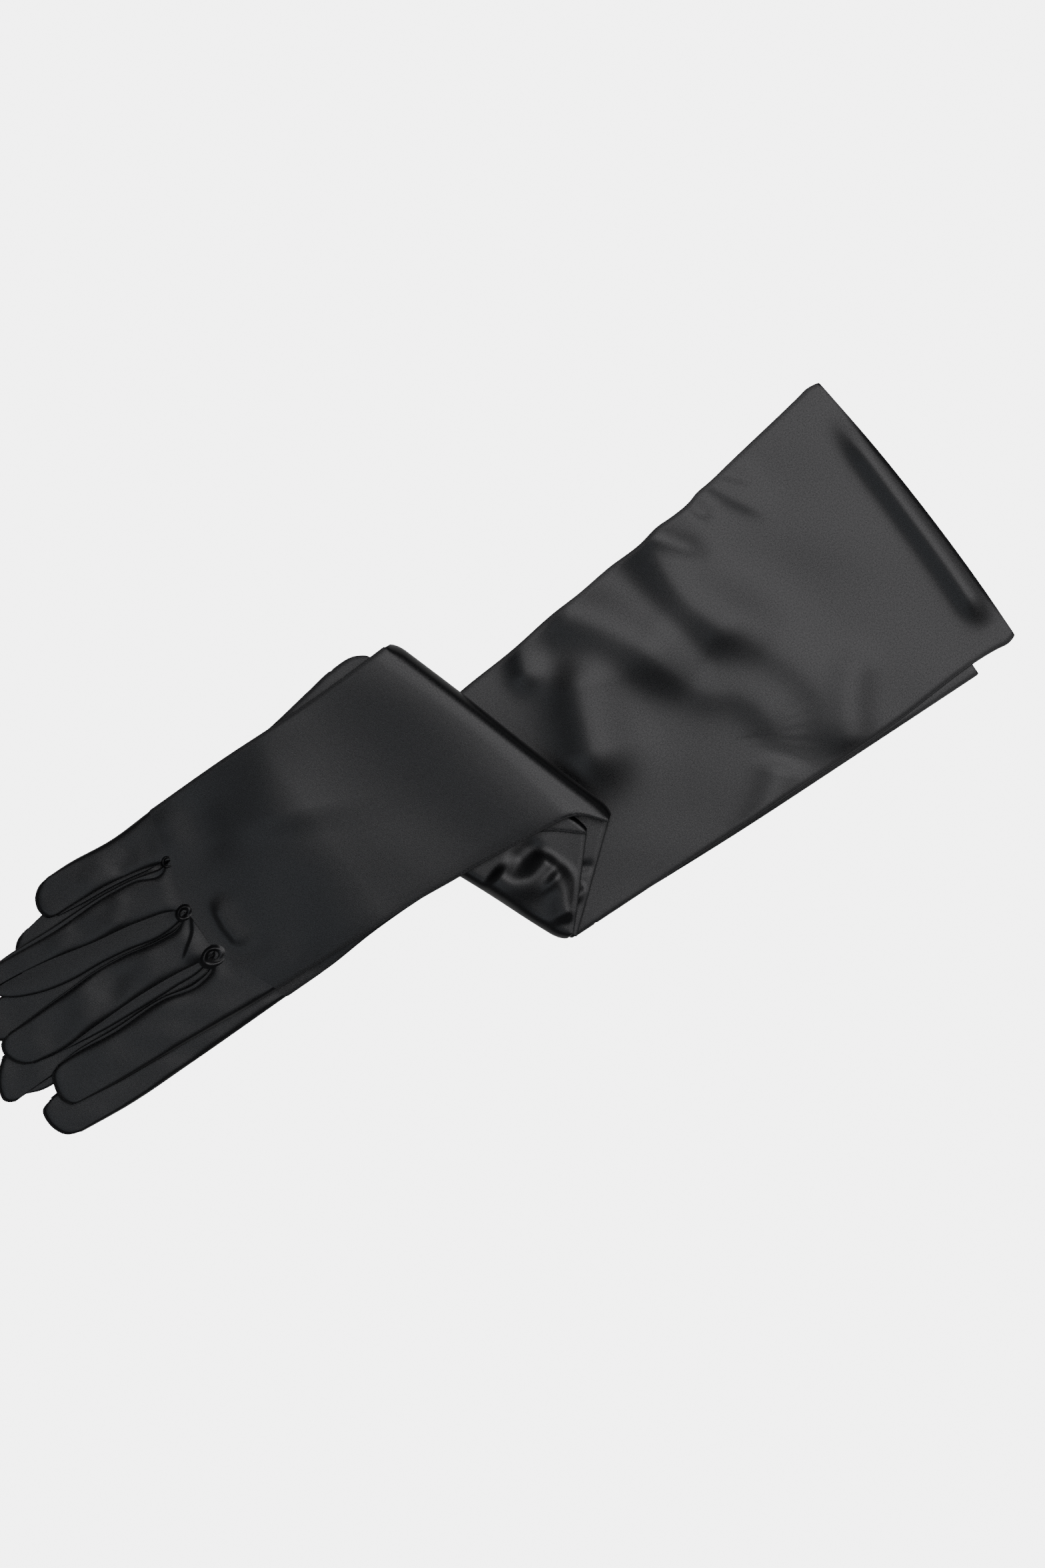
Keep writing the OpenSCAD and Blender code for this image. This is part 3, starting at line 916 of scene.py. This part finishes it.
@dataclass
class StitchMaker:
    """Sews rows of stitches with one node tree.

    Attributes:
        spacing: From one stitch to the next, in millimetres.
        length: Length of a stitch.
        width: Its thickness.
        seed: Which run of uneven lengths the stitches have.
        tree: The node tree, made on first use.
    """

    spacing: float = 2.3
    length: float = 1.6
    width: float = 0.26
    seed: int = 7
    tree: bpy.types.NodeTree | None = None

    def build(self) -> bpy.types.NodeTree:
        """Make the node tree that sets one stitch at each step along a line."""
        tree = bpy.data.node_groups.new("stitch_row", "GeometryNodeTree")
        tree.is_modifier = True
        io = tree.interface
        io.new_socket("Geometry", in_out="INPUT", socket_type="NodeSocketGeometry")
        for name in ("Spacing", "Length", "Width"):
            io.new_socket(name, in_out="INPUT", socket_type="NodeSocketFloat")
        io.new_socket("Seed", in_out="INPUT", socket_type="NodeSocketInt")
        io.new_socket("Thread", in_out="INPUT", socket_type="NodeSocketMaterial")
        io.new_socket("Geometry", in_out="OUTPUT", socket_type="NodeSocketGeometry")
        start, end = tree.nodes.new("NodeGroupInput"), tree.nodes.new("NodeGroupOutput")
        curve = node(tree, "GeometryNodeMeshToCurve")
        steps = node(tree, "GeometryNodeResampleCurve", mode="LENGTH")
        ball = node(tree, "GeometryNodeMeshUVSphere", Segments=6, Rings=4, Radius=0.5)
        tangent = node(tree, "GeometryNodeInputTangent")
        turn = node(tree, "FunctionNodeAlignRotationToVector", axis="X")
        uneven = node(tree, "FunctionNodeRandomValue", data_type="FLOAT")
        uneven.inputs[2].default_value, uneven.inputs[3].default_value = 0.8, 1.15
        longer = node(tree, "ShaderNodeMath", operation="MULTIPLY")
        size = node(tree, "ShaderNodeCombineXYZ")
        copies = node(tree, "GeometryNodeInstanceOnPoints")
        real = node(tree, "GeometryNodeRealizeInstances")
        dress = node(tree, "GeometryNodeSetMaterial")
        for source, output, target, socket in (
            (start, "Geometry", curve, "Mesh"),
            (curve, "Curve", steps, "Curve"),
            (start, "Spacing", steps, "Length"),
            (tangent, "Tangent", turn, "Vector"),
            (start, "Seed", uneven, "Seed"),
            (start, "Length", longer, 0),
            (uneven, 1, longer, 1),
            (longer, 0, size, "X"),
            (start, "Width", size, "Y"),
            (start, "Width", size, "Z"),
            (steps, "Curve", copies, "Points"),
            (ball, "Mesh", copies, "Instance"),
            (turn, "Rotation", copies, "Rotation"),
            (size, "Vector", copies, "Scale"),
            (copies, "Instances", real, "Geometry"),
            (real, "Geometry", dress, "Geometry"),
            (start, "Thread", dress, "Material"),
            (dress, "Geometry", end, "Geometry"),
        ):
            tree.links.new(source.outputs[output], target.inputs[socket])
        return tree

    def sew(self, name: str, lines: Sequence[np.ndarray], thread: bpy.types.Material) -> bpy.types.Object:
        """Sew along lines and return the stitches as one plain mesh.

        Args:
            name: The object's name.
            lines: Each a run of points, in millimetres.
            thread: The thread's material.

        Returns:
            The new object.
        """
        self.tree = self.tree or self.build()
        verts = np.concatenate(lines) * MM
        edges, done = [], 0
        for line in lines:
            edges += [(done + i, done + i + 1) for i in range(len(line) - 1)]
            done += len(line)
        guide = bpy.data.meshes.new(name + "_line")
        guide.from_pydata(verts.tolist(), edges, [])
        holder = bpy.data.objects.new(name + "_line", guide)
        bpy.context.scene.collection.objects.link(holder)
        rows = holder.modifiers.new("stitches", "NODES")
        rows.node_group = self.tree
        values = {
            "Spacing": self.spacing * MM,
            "Length": self.length * MM,
            "Width": self.width * MM,
            "Seed": self.seed,
            "Thread": thread,
        }
        for item in self.tree.interface.items_tree:
            if item.in_out == "INPUT" and item.name in values:
                rows[item.identifier] = values[item.name]
        ready = holder.evaluated_get(bpy.context.evaluated_depsgraph_get())
        mesh = bpy.data.meshes.new_from_object(ready)
        made = bpy.data.objects.new(name, mesh)
        bpy.data.objects.remove(holder)
        mesh.name = name
        mesh.polygons.foreach_set("use_smooth", np.ones(len(mesh.polygons), bool))
        bpy.context.scene.collection.objects.link(made)
        return made


# ---------------------------------------------------------------- the gloves


@dataclass
class Stretch:
    """A run of rows of a glove's middle surface.

    Attributes:
        middle: Rows by columns by 3, in millimetres.
        facing: Directions in which the glove's back faces, alike.
    """

    middle: np.ndarray
    facing: np.ndarray


@dataclass
class Glove:
    """Builds and dresses one glove.

    Attributes:
        pattern: Its outline, folds and levels.
        finishes: Materials by slot.
        stitches: Sews rows of stitches.
        columns: Columns of its grids, a multiple of four.
        step: About how far apart its rows are, in millimetres.
        calm: How far before a fold the cloth lies flat, and from where its creases start to fade.
        hand_start: How far past the forearm fold the hand's own piece starts.
        turn_rows: How many rows go round a fold.
        corner: Radius of a fold's corners, in plan.
        alike: How far in from a long edge a crease lifts the panel below it too.
        uneven: Height of the soft unevenness of the cloth.
        knuckle: How far along a finger its own shape takes over from the hand's.
    """

    pattern: GlovePattern
    finishes: dict[str, bpy.types.Material]
    stitches: StitchMaker
    columns: int = 120
    step: float = 1.1
    calm: tuple[float, float] = (13.0, 22.0)
    hand_start: float = 26.0
    turn_rows: int = 15
    corner: float = 8.0
    alike: float = 10.0
    uneven: float = 0.12
    knuckle: float = 9.0

    def name(self, *words: str) -> str:
        """A piece's name."""
        return "_".join((self.pattern.hand.value, *words))

    def flat(self, plan: np.ndarray, height: float | np.ndarray, facing: float) -> Stretch:
        """Lift a flat grid to a height, with the glove's back facing up or down."""
        z = np.broadcast_to(height, plan.shape[:2])
        middle = np.concatenate([plan, z[..., None]], axis=-1)
        return Stretch(middle, np.broadcast_to([0.0, 0.0, facing], middle.shape).copy())

    def turn(self, fold: FoldLine, reach: float, radius: float, facing: float) -> Stretch:
        """The rows that go round a fold, from its lower to its upper level.

        Args:
            fold: The fold.
            reach: How far it goes each way.
            radius: Radius of the glove's middle surface round the fold's axis.
            facing: 1 where the glove's back faces the axis, and -1 where it faces out.

        Returns:
            The rows.
        """
        line = fold.line(-reach, reach, self.columns + 1)
        angle = np.linspace(0, math.pi, self.turn_rows)[:, None]
        out = np.concatenate([np.sin(angle) * fold.outward, -np.cos(angle)], axis=1)[:, None, :]
        centre = np.concatenate([line, np.full((len(line), 1), fold.height)], axis=1)[None]
        column = np.arange(len(line))
        from_end = np.minimum(column, column[::-1]) * 2 * reach / self.columns
        bulge = (0.1 + 0.9 * rounded(from_end, self.corner))[None, :, None]
        squeeze = np.concatenate([bulge, bulge, np.ones_like(bulge)], axis=-1)
        return Stretch(centre + radius * out * squeeze, -facing * unit(out / squeeze))

    def stretches(self) -> dict[str, Stretch]:
        """Lay out the whole glove from its mouth to its knuckles.

        Returns:
            The stretches by name, in order, each starting on the last row of the one before.
        """
        p = self.pattern
        n = self.columns + 1
        elbow = ELBOW.line(-p.elbow_reach, p.elbow_reach, n)
        forearm = p.forearm.line(-p.forearm_reach, p.forearm_reach, n)

        def rows(line: Points) -> int:
            """How many rows a line of that length gets."""
            return int(distances(np.asarray(line, float))[-1] / self.step) + 2

        upper = [*p.arm_upper, tuple(elbow[0])]
        lower = [*p.arm_lower, tuple(elbow[-1])]
        count = rows(upper)
        share = np.linspace(0, 1, n)[:, None]
        mouth = (1 - share) * np.array(upper[0]) + share * np.array(lower[0])
        mouth[:, 0] += 4 * p.bulge * (share * (1 - share))[:, 0]
        arm = patch(mouth, elbow, smooth_line(upper, count), smooth_line(lower, count))

        count = rows([tuple(elbow[n // 2]), tuple(forearm[n // 2])])
        edge = [smooth_line([tuple(elbow[k]), tuple(forearm[k])], count) for k in (0, -1)]
        middle = patch(elbow, forearm, *edge)

        upper = [tuple(forearm[0]), *p.hand_upper]
        lower = [tuple(forearm[-1]), *p.hand_lower]
        count = rows(lower)
        bases = [upper[-1], *p.knuckles, lower[-1]]
        quarter = self.columns // 4
        spans = [np.linspace(a, b, quarter, endpoint=False) for a, b in zip(bases[:-1], bases[1:])]
        ends = np.concatenate([*spans, [bases[-1]]])
        hand = patch(forearm, ends, smooth_line(upper, count), smooth_line(lower, count))
        height = p.drape_at(hand[..., 0])
        return {
            "arm": self.flat(arm, p.arm_level, p.up),
            "elbow_turn": self.turn(ELBOW, p.elbow_reach, ELBOW.height - p.arm_level, p.up),
            "elbow": self.flat(middle, p.elbow_level, -p.up),
            "forearm_turn": self.turn(p.forearm, p.forearm_reach, p.forearm.height - p.elbow_level, -p.up),
            "hand": self.flat(hand, height, p.up),
        }

    def build(self) -> None:
        """Build every piece of the glove."""
        parts = self.stretches()
        names = list(parts)
        middle = np.concatenate([parts[k].middle[(i > 0):] for i, k in enumerate(names)])
        facing = np.concatenate([parts[k].facing[(i > 0):] for i, k in enumerate(names)])
        starts = np.cumsum([0] + [len(parts[k].middle) - (i > 0) for i, k in enumerate(names)])
        owner = np.concatenate([np.full(b - a, i) for i, (a, b) in enumerate(zip(starts[:-1], starts[1:]))])
        left, right = across(middle)
        near_edge = np.minimum(left, right)
        edge = rounded(near_edge)
        run = lengthwise(middle)
        uv = np.stack([run, left], -1)
        x, y = middle[..., 0].copy(), middle[..., 1].copy()
        rise = self.rise(owner, x, y, run)
        lifted = rise * (1 - eased(near_edge, 0, self.alike))
        middle[..., 2] += lifted
        pressed = 3.0 * (1 - eased(near_edge, 0.4, 2.4)) * eased(run, 0, 1)
        up = self.pattern.up
        ends: dict[Side, np.ndarray] = {}

        for side in Side:
            out = facing * (1.0 if side is Side.BACK else -1.0)
            sign = out[..., 2]
            turned_in = 0.72 + 0.28 * rounded(run, 1.6)
            soft = self.uneven * ripple(x, y, 46, 5 + len(side.value) + int(up))
            height = HALF * edge * turned_in + soft * edge
            height = height + np.where(sign > 0, rise - lifted, 0)
            outer = middle + out * height[..., None]
            normal = unit(grid_normals(outer, out) + pressed[..., None] * out)
            trim = {"cuff": self.hem(side, outer, normal, uv)}
            if side is Side.BACK:
                trim["hand"] = self.knots()
            self.cut(side, outer, normal, uv, starts, names)
            ends[side] = height[-1]
        self.side_seams(middle, starts, names)
        self.fingers(middle[-1], ends)
        self.thumb()
        LOG.info("%s glove: %d rows by %d columns", self.pattern.hand.value, *middle.shape[:2])

    def rise(self, owner: np.ndarray, x: np.ndarray, y: np.ndarray, run: np.ndarray) -> np.ndarray:
        """Height of the creases on the side that faces up.

        Args:
            owner: Number of each row's stretch.
            x: First coordinates of the glove's middle surface.
            y: Second coordinates.
            run: Distance from the mouth.

        Returns:
            An array like x.
        """
        total = np.zeros_like(x)
        for k, stretch in enumerate(("arm", "elbow", "hand")):
            if stretch not in self.pattern.creases:
                continue
            band = np.flatnonzero((owner == 2 * k) | (owner == 2 * k - 1))
            here = lifts(self.pattern.creases[stretch], x[band], y[band])
            turned = np.ones(len(band))
            bend = owner[band] == 2 * k - 1
            turned[bend] = eased(np.linspace(0, 1, bend.sum()), 0.5, 1.0) if bend.any() else 1.0
            here = here * turned[:, None]
            if k < 2:
                here = here * eased(run[band][-1:] - run[band], *self.calm)
            total[band] += here
        return total

    def cut(
        self,
        side: Side,
        outer: np.ndarray,
        normal: np.ndarray,
        uv: np.ndarray,
        starts: np.ndarray,
        names: list[str],
    ) -> None:
        """Cut one panel into four pieces; hand the cuff and hand pieces to their bodies, and bake the two
        fold pieces in place.

        Args:
            side: Which panel.
            outer: Its outer face.
            normal: Its normals.
            uv: Its pattern places.
            starts: First row of each stretch.
            names: The stretches' names.
        """
        first = dict(zip(names, starts))
        arm_cut, mid_cut, hand_cut = self.cuts(first)
        satin = self.finishes["satin"]
        prefix = self.name(side.value)

        def piece(label: str, a: int, b: int) -> bpy.types.Object:
            """Cut one piece, from row a to before row b."""
            made = shell(f"{prefix}_{label}_panel", outer[a:b], normal[a:b], uv[a:b], satin)
            return made

        cuff = piece("cuff", 0, arm_cut + 1)
        bend = piece("elbow_fold", arm_cut, mid_cut + 1)
        fold = piece("forearm_fold", mid_cut, hand_cut + 1)
        hand = piece("hand", hand_cut, len(outer))
        self.hand_over(cuff, bend, fold, hand)
        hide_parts(f"{prefix}_upper_arm", self.name("seams_upper_arm"))
        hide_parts(f"{prefix}_elbow_bend", f"{prefix}_elbow", self.name("seams_elbow"))
        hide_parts(f"{prefix}_forearm_bend")
        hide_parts(f"{prefix}_hand", self.name("seams_hand"))

    def hand_over(
        self,
        cuff: bpy.types.Object,
        bend: bpy.types.Object,
        fold: bpy.types.Object,
        hand: bpy.types.Object,
    ) -> None:
        """Hand the cuff and hand pieces of one run of cloth to their bodies, and bake the two fold pieces in
        place.

        Args:
            cuff: The piece from the mouth.
            bend: The piece round the elbow fold.
            fold: The piece round the forearm fold.
            hand: The piece to the knuckles.
        """
        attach(cuff, "upper_arm")
        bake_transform(bend)
        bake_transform(fold)
        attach(hand, "hands")

    def cuts(self, first: dict[str, int]) -> tuple[int, int, int]:
        """Find the rows at which the panels are cut.

        Args:
            first: First row of each stretch.

        Returns:
            A row before the elbow fold, one before the forearm fold, and one in the hand.
        """
        flat = int(self.calm[0] / self.step)
        hand = first["hand"] + int(self.hand_start / self.step)
        return first["elbow_turn"] - flat, first["forearm_turn"] - flat, hand

    def knots(self) -> list[bpy.types.Object]:
        """Make the puckered swirls at the crotches, and return them."""
        made = []
        for knot in self.pattern.knots:
            base = float(self.pattern.drape_at(np.array(knot.centre[0]))) + HALF
            swirl = knot.build(base, self.finishes["fourchette"])
            made.append(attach(swirl, "hands"))
        return made

    def hem(
        self, side: Side, outer: np.ndarray, normal: np.ndarray, uv: np.ndarray
    ) -> list[bpy.types.Object]:
        """Turn in the hem of one panel: a band inside the mouth, with its row of stitches.

        Args:
            side: Which panel.
            outer: The panel's outer face.
            normal: Its normals.
            uv: Its pattern places.

        Returns:
            The band and its stitches.
        """
        rows = int(HEM_DEPTH / self.step) + 1
        keep = slice(3, -3)
        inside = outer[:rows, keep] - (CLOTH + 0.04) * normal[:rows, keep]
        name = self.name(side.value, "hem_band")
        band = shell(name, inside, normal[:rows, keep], uv[:rows, keep], self.finishes["hem"], 0.25)
        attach(band, "upper_arm")
        if side is Side.BACK:
            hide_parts(self.name("hem"))
        line = inside[rows - 2] - 0.3 * normal[rows - 2, keep]
        sewn = self.stitches.sew(self.name(side.value, "hem_stitches"), [line], self.finishes["seam"])
        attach(sewn, "upper_arm")
        return [band, sewn]

    def side_seams(self, middle: np.ndarray, starts: np.ndarray, names: list[str]) -> None:
        """Sew both long edges: a fine bead where back and palm meet.

        Args:
            middle: The glove's middle surface.
            starts: First row of each stretch.
            names: The stretches' names.
        """
        first = dict(zip(names, starts))
        cuts = [0, *self.cuts(first), len(middle) - 1]
        radius = 0.32
        for column, where in ((0, "little"), (-1, "index")):
            beads = []
            for label, a, b in zip(("cuff", "elbow_fold", "forearm_fold", "hand"), cuts[:-1], cuts[1:]):
                name = self.name(where, "side_seam", label)
                bead = tube(name, middle[a : b + 1, column], radius, self.finishes["seam"])
                beads.append(bead)
            self.hand_over(*beads)

    def fingers(self, base: np.ndarray, ends: dict[Side, np.ndarray]) -> None:
        """Build the four fingers on from the knuckles.

        Args:
            base: Last row of the hand's middle surface.
            ends: Height of each panel along that row.
        """
        quarter = self.columns // 4
        for k, finger in enumerate(self.pattern.fingers):
            share = slice(k * quarter, (k + 1) * quarter + 1)
            self.finger(finger, base[share], {side: h[share] for side, h in ends.items()})

    def finger(self, finger: Finger, base: np.ndarray, ends: dict[Side, np.ndarray]) -> None:
        """Build one finger: its back, its palm side, its strips and its stitches.

        Args:
            finger: Its plan.
            base: Its share of the hand's last row.
            ends: Height of each panel there.
        """
        row_step = 0.9
        count = int(math.dist(finger.upper[-1], finger.upper[0]) / row_step) + 2
        plan = patch(
            base[:, :2],
            smooth_line([finger.upper[-1], *finger.tip[1:-1], finger.lower[-1]], len(base)),
            smooth_line([tuple(base[0, :2]), *finger.upper[1:]], count),
            smooth_line([tuple(base[-1, :2]), *finger.lower[1:]], count),
        )
        fade = 1 - eased(lengthwise(plan), 0, self.knuckle)
        lifted = (base[:, 2] - self.pattern.drape_at(base[:, 0]))[None] * fade
        middle = np.concatenate([plan, (self.pattern.drape_at(plan[..., 0]) + lifted)[..., None]], axis=-1)
        near, far = across(middle)
        run = lengthwise(middle)
        to_tip = run[-1:] - run
        uv = np.stack([run + 400, near], -1)
        sides: list[Face] = []
        for side in Side:
            way = self.pattern.up * (1 if side is Side.BACK else -1)
            out = np.broadcast_to(way * UP, middle.shape)
            up = way > 0
            top = HALF + (0.45 if up else 0.0)
            shapes = []
            for distance, strip in ((near, finger.upper_strip), (far, finger.lower_strip)):
                low = SEAM_HEIGHT if strip else 0.0
                shapes.append(low + (top - low) * rounded(distance, 4.2))
            low = 0.4 * SEAM_HEIGHT
            shapes.append(low + (top - low) * rounded(to_tip, 4.0))
            height = np.minimum.reduce(shapes)
            blend = eased(run, 0, self.knuckle)
            height = (1 - blend) * ends[side][None] + blend * height
            x, y = middle[..., 0], middle[..., 1]
            soft = rounded(np.minimum(np.minimum(near, far), to_tip), 2.5)
            height = height + self.uneven * ripple(x, y, 20, 40 + len(finger.name)) * soft * blend
            if up and "fingers" in self.pattern.creases:
                height = height + lifts(self.pattern.creases["fingers"], x, y) * soft
            outer = middle + out * height[..., None]
            normal = grid_normals(outer, out)
            piece = shell(
                self.name(finger.name, side.value, "panel"), outer, normal, uv, self.finishes["satin"]
            )
            self.attach(piece, finger)
            sides.append((height, outer, normal, up))
            if self.pattern.hand is Hand.RIGHT:
                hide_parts(self.name(finger.name, side.value))
        trim = self.strips(finger, middle, sides)
        for height, outer, normal, up in sides:
            lines = []
            inset = outer + 0.05 * normal
            if finger.upper_strip:
                lines.append(inset[6:, 1])
            if finger.lower_strip:
                lines.append(inset[6:, -2])
            lines.append(inset[-2, 2:-2])
            which = "upper" if up else "under"
            sewn = self.stitches.sew(self.name(finger.name, which, "stitches"), lines, self.finishes["seam"])
            self.attach(sewn, finger)

    def strips(
        self, finger: Finger, middle: np.ndarray, sides: Sequence[Face]
    ) -> list[bpy.types.Object]:
        """Build the long strips between a finger's back and its palm side.

        Args:
            finger: Its plan.
            middle: Its middle surface.
            sides: Its back and its palm side.

        Returns:
            The strips.
        """
        made = []
        angle = np.linspace(0, math.pi, 13)[None, :, None]
        cos = np.cos(angle)
        reach = np.sin(angle) ** 0.75
        bend = np.sign(cos) * np.abs(cos) ** 0.55
        plump = 1 + 0.35 * np.sin(2 * angle) * (cos > 0)
        for column, strip, where in ((0, finger.upper_strip, "upper"), (-1, finger.lower_strip, "lower")):
            if not strip:
                continue
            seam = middle[:, column]
            line = smooth_line([tuple(seam[0, :2]), *strip[1:]], len(seam))
            flat = np.concatenate([line - seam[:, :2], np.zeros((len(seam), 1))], axis=1)
            rise = np.array([height[:, column] * (1 if up else -1) for height, _, _, up in sides])
            top, bottom = rise.max(axis=0)[:, None, None], rise.min(axis=0)[:, None, None]
            lift = np.where(cos > 0, top, -bottom) * bend
            outer = seam[:, None] + reach * flat[:, None]
            outer[..., 2] += (lift * plump)[..., 0]
            aside = unit(flat + [0, 0.001 if column == 0 else -0.001, 0])[:, None]
            toward = reach * aside + 0.4 * cos * UP
            normal = grid_normals(outer, toward)
            run = lengthwise(outer)
            uv = np.stack([run + 700, across(outer)[0]], -1)
            name = self.name(finger.name, where, "strip")
            piece = shell(name, outer, normal, uv, self.finishes["fourchette"])
            self.attach(piece, finger)
            if not made:
                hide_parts(self.name(finger.name, "fourchettes"))
            made.append(piece)
        return made

    def attach(self, piece: bpy.types.Object, finger: Finger) -> None:
        """Hand one piece of a finger of the left glove to the hands body; for the right glove, only bake its
        transform in place.

        Args:
            piece: The piece.
            finger: The finger it belongs to.
        """
        if self.pattern.hand is Hand.LEFT:
            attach(piece, "hands")
            return
        body = self.name(finger.name)
        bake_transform(piece)

    def thumb(self) -> None:
        """Lay the thumb flat against its palm, between the two gloves, as one folded strip."""
        p = self.pattern
        shift = 4.0 if p.hand is Hand.RIGHT else 0.0
        upper, lower = (
            smooth_line([(x, y + shift) for x, y in edge], 60)
            for edge in (
                [(-58, 10), (-84, 14), (-104, 15), (-109, 11)],
                [(-58, -14), (-84, -6), (-104, 1), (-109, 5)],
            )
        )
        half = 0.5
        z = p.drape_at(upper[:, 0]) + (HALF + half + 0.06) * (-p.up)
        angle = np.linspace(0, 1, 33)[None, :, None]
        share = np.abs(2 * angle - 1)
        plan = upper[:, None] + share * (lower - upper)[:, None]
        tip = rounded(np.linspace(np.linalg.norm(upper[-1] - upper[0]), 0, 60), 3.0)[:, None]
        width = np.linalg.norm(lower - upper, axis=1)[:, None]
        edge = rounded(np.minimum(share[..., 0], 1 - share[..., 0]) * width, 1.6)
        layer = np.sign(0.5 - angle + 1e-9)
        rise = half * (0.15 + 0.85 * edge) * tip * layer[..., 0]
        outer = np.concatenate([plan, (z[:, None] + rise)[..., None]], axis=-1)
        normal = grid_normals(outer, np.broadcast_to(UP, outer.shape) * layer)
        uv = np.stack([lengthwise(outer) + 900, across(outer)[0]], -1)
        piece = shell(self.name("thumb_strip"), outer, normal, uv, self.finishes["satin"], 0.12)
        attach(piece, "hands")
        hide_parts(self.name("thumb"))


# ---------------------------------------------------------------- light, floor and camera


@dataclass(frozen=True)
class Lamp:
    """One soft square lamp that faces the gloves.

    Attributes:
        name: Its name.
        place: Where it hangs, in metres.
        size: Its width in metres.
        power: Its power in watts.
        colour: Its light's colour.
    """

    name: str
    place: tuple[float, float, float]
    size: float
    power: float
    colour: tuple[float, float, float]

    def hang(self) -> None:
        """Put the lamp in its place."""
        data = bpy.data.lights.new(self.name, "AREA")
        data.shape = "SQUARE"
        data.size = self.size
        data.energy = self.power
        data.color = self.colour
        made = bpy.data.objects.new(self.name, data)
        made.location = self.place
        made.rotation_euler = (-Vector(self.place)).to_track_quat("-Z", "Y").to_euler()
        bpy.context.scene.collection.objects.link(made)


@dataclass(frozen=True)
class Studio:
    """A pale table under soft light, seen from straight above.

    Attributes:
        lens: Focal length in millimetres.
        wide: Width of the view's long side on the table, in metres.
        centre: Place on the table below the camera, in metres.
        roll: Angle of +X above the view's right, in degrees.
        floor_light: How much the table lights the gloves.
        wall_light: How much the room round it lights them.
        floor_shown: How bright both look.
        sensor: Width of the camera's sensor in millimetres.
        table_reach: Half the table's width, in metres.
        lamps: The lamps.
    """

    lens: float = 85.0
    wide: float = 0.635
    centre: tuple[float, float] = (0.0248, -0.0032)
    roll: float = 35.4
    floor_light: float = 0.35
    wall_light: float = 0.08
    floor_shown: float = 5.4
    sensor: float = 36.0
    table_reach: float = 60.0
    lamps: tuple[Lamp, ...] = (
        Lamp("key", (0.62, 0.1, 1.75), 1.4, 12.8, (0.99, 0.975, 1.0)),
        Lamp("fill", (-0.8, -0.1, 1.5), 0.8, 1.7, (0.86, 0.92, 1.0)),
    )

    def camera(self) -> None:
        """Put the camera above the gloves."""
        data = bpy.data.cameras.new("camera")
        data.lens = self.lens
        data.sensor_width = self.sensor
        data.clip_end = 20.0
        made = bpy.data.objects.new("camera", data)
        made.location = (*self.centre, self.wide * self.lens / self.sensor)
        made.rotation_euler = (0, 0, math.radians(-self.roll))
        bpy.context.scene.collection.objects.link(made)
        bpy.context.scene.camera = made

    def floor(self) -> None:
        """Lay the pale table."""
        mesh = bpy.data.meshes.new("table")
        r = self.table_reach
        mesh.from_pydata([(-r, -r, 0), (r, -r, 0), (r, r, 0), (-r, r, 0)], [], [(0, 1, 2, 3)])
        made = bpy.data.objects.new("table", mesh)
        made.location = (0, 0, -0.0002)
        bpy.context.scene.collection.objects.link(made)
        material = bpy.data.materials.new("table_paint")
        material.use_nodes = True
        tree = material.node_tree
        shader = tree.nodes["Principled BSDF"]
        put(shader, Roughness=0.9, Specular_IOR_Level=0.0)
        put(shader, Base_Color=(0.1, 0.1, 0.1, 1), Emission_Color=(1, 1, 1, 1))
        self.two_levels(tree, shader.inputs["Emission Strength"], self.floor_light, self.floor_shown)
        mesh.materials.append(material)

    def two_levels(
        self, tree: bpy.types.NodeTree, socket: bpy.types.NodeSocket, light: float, shown: float
    ) -> None:
        """Let a surface light the gloves at one strength and be seen at another.

        Args:
            tree: The surface's node tree.
            socket: Its strength.
            light: How much it lights the gloves.
            shown: How bright it looks.
        """
        path = node(tree, "ShaderNodeLightPath")
        glow = node(tree, "ShaderNodeMapRange", To_Min=light, To_Max=shown)
        tree.links.new(path.outputs["Is Camera Ray"], glow.inputs["Value"])
        tree.links.new(glow.outputs["Result"], socket)

    def build(self) -> None:
        """Make the whole studio."""
        self.camera()
        self.floor()
        world = bpy.data.worlds.new("studio")
        world.use_nodes = True
        tree = world.node_tree
        sky = tree.nodes["Background"]
        sky.inputs["Color"].default_value = (0.93, 0.95, 1, 1)
        self.two_levels(tree, sky.inputs["Strength"], self.wall_light, self.floor_shown)
        bpy.context.scene.world = world
        for lamp in self.lamps:
            lamp.hang()


def main() -> None:
    """Build the gloves and the studio."""
    logging.basicConfig(level=logging.INFO, format="%(name)s: %(message)s")
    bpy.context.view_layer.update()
    Studio().build()
    weave = weave_group()
    finishes = {slot: finish.build(weave) for slot, finish in FINISHES.items()}
    stitches = StitchMaker()
    for pattern in (LEFT, RIGHT):
        Glove(pattern, finishes, stitches).build()
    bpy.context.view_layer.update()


if __name__ == "__main__":
    main()
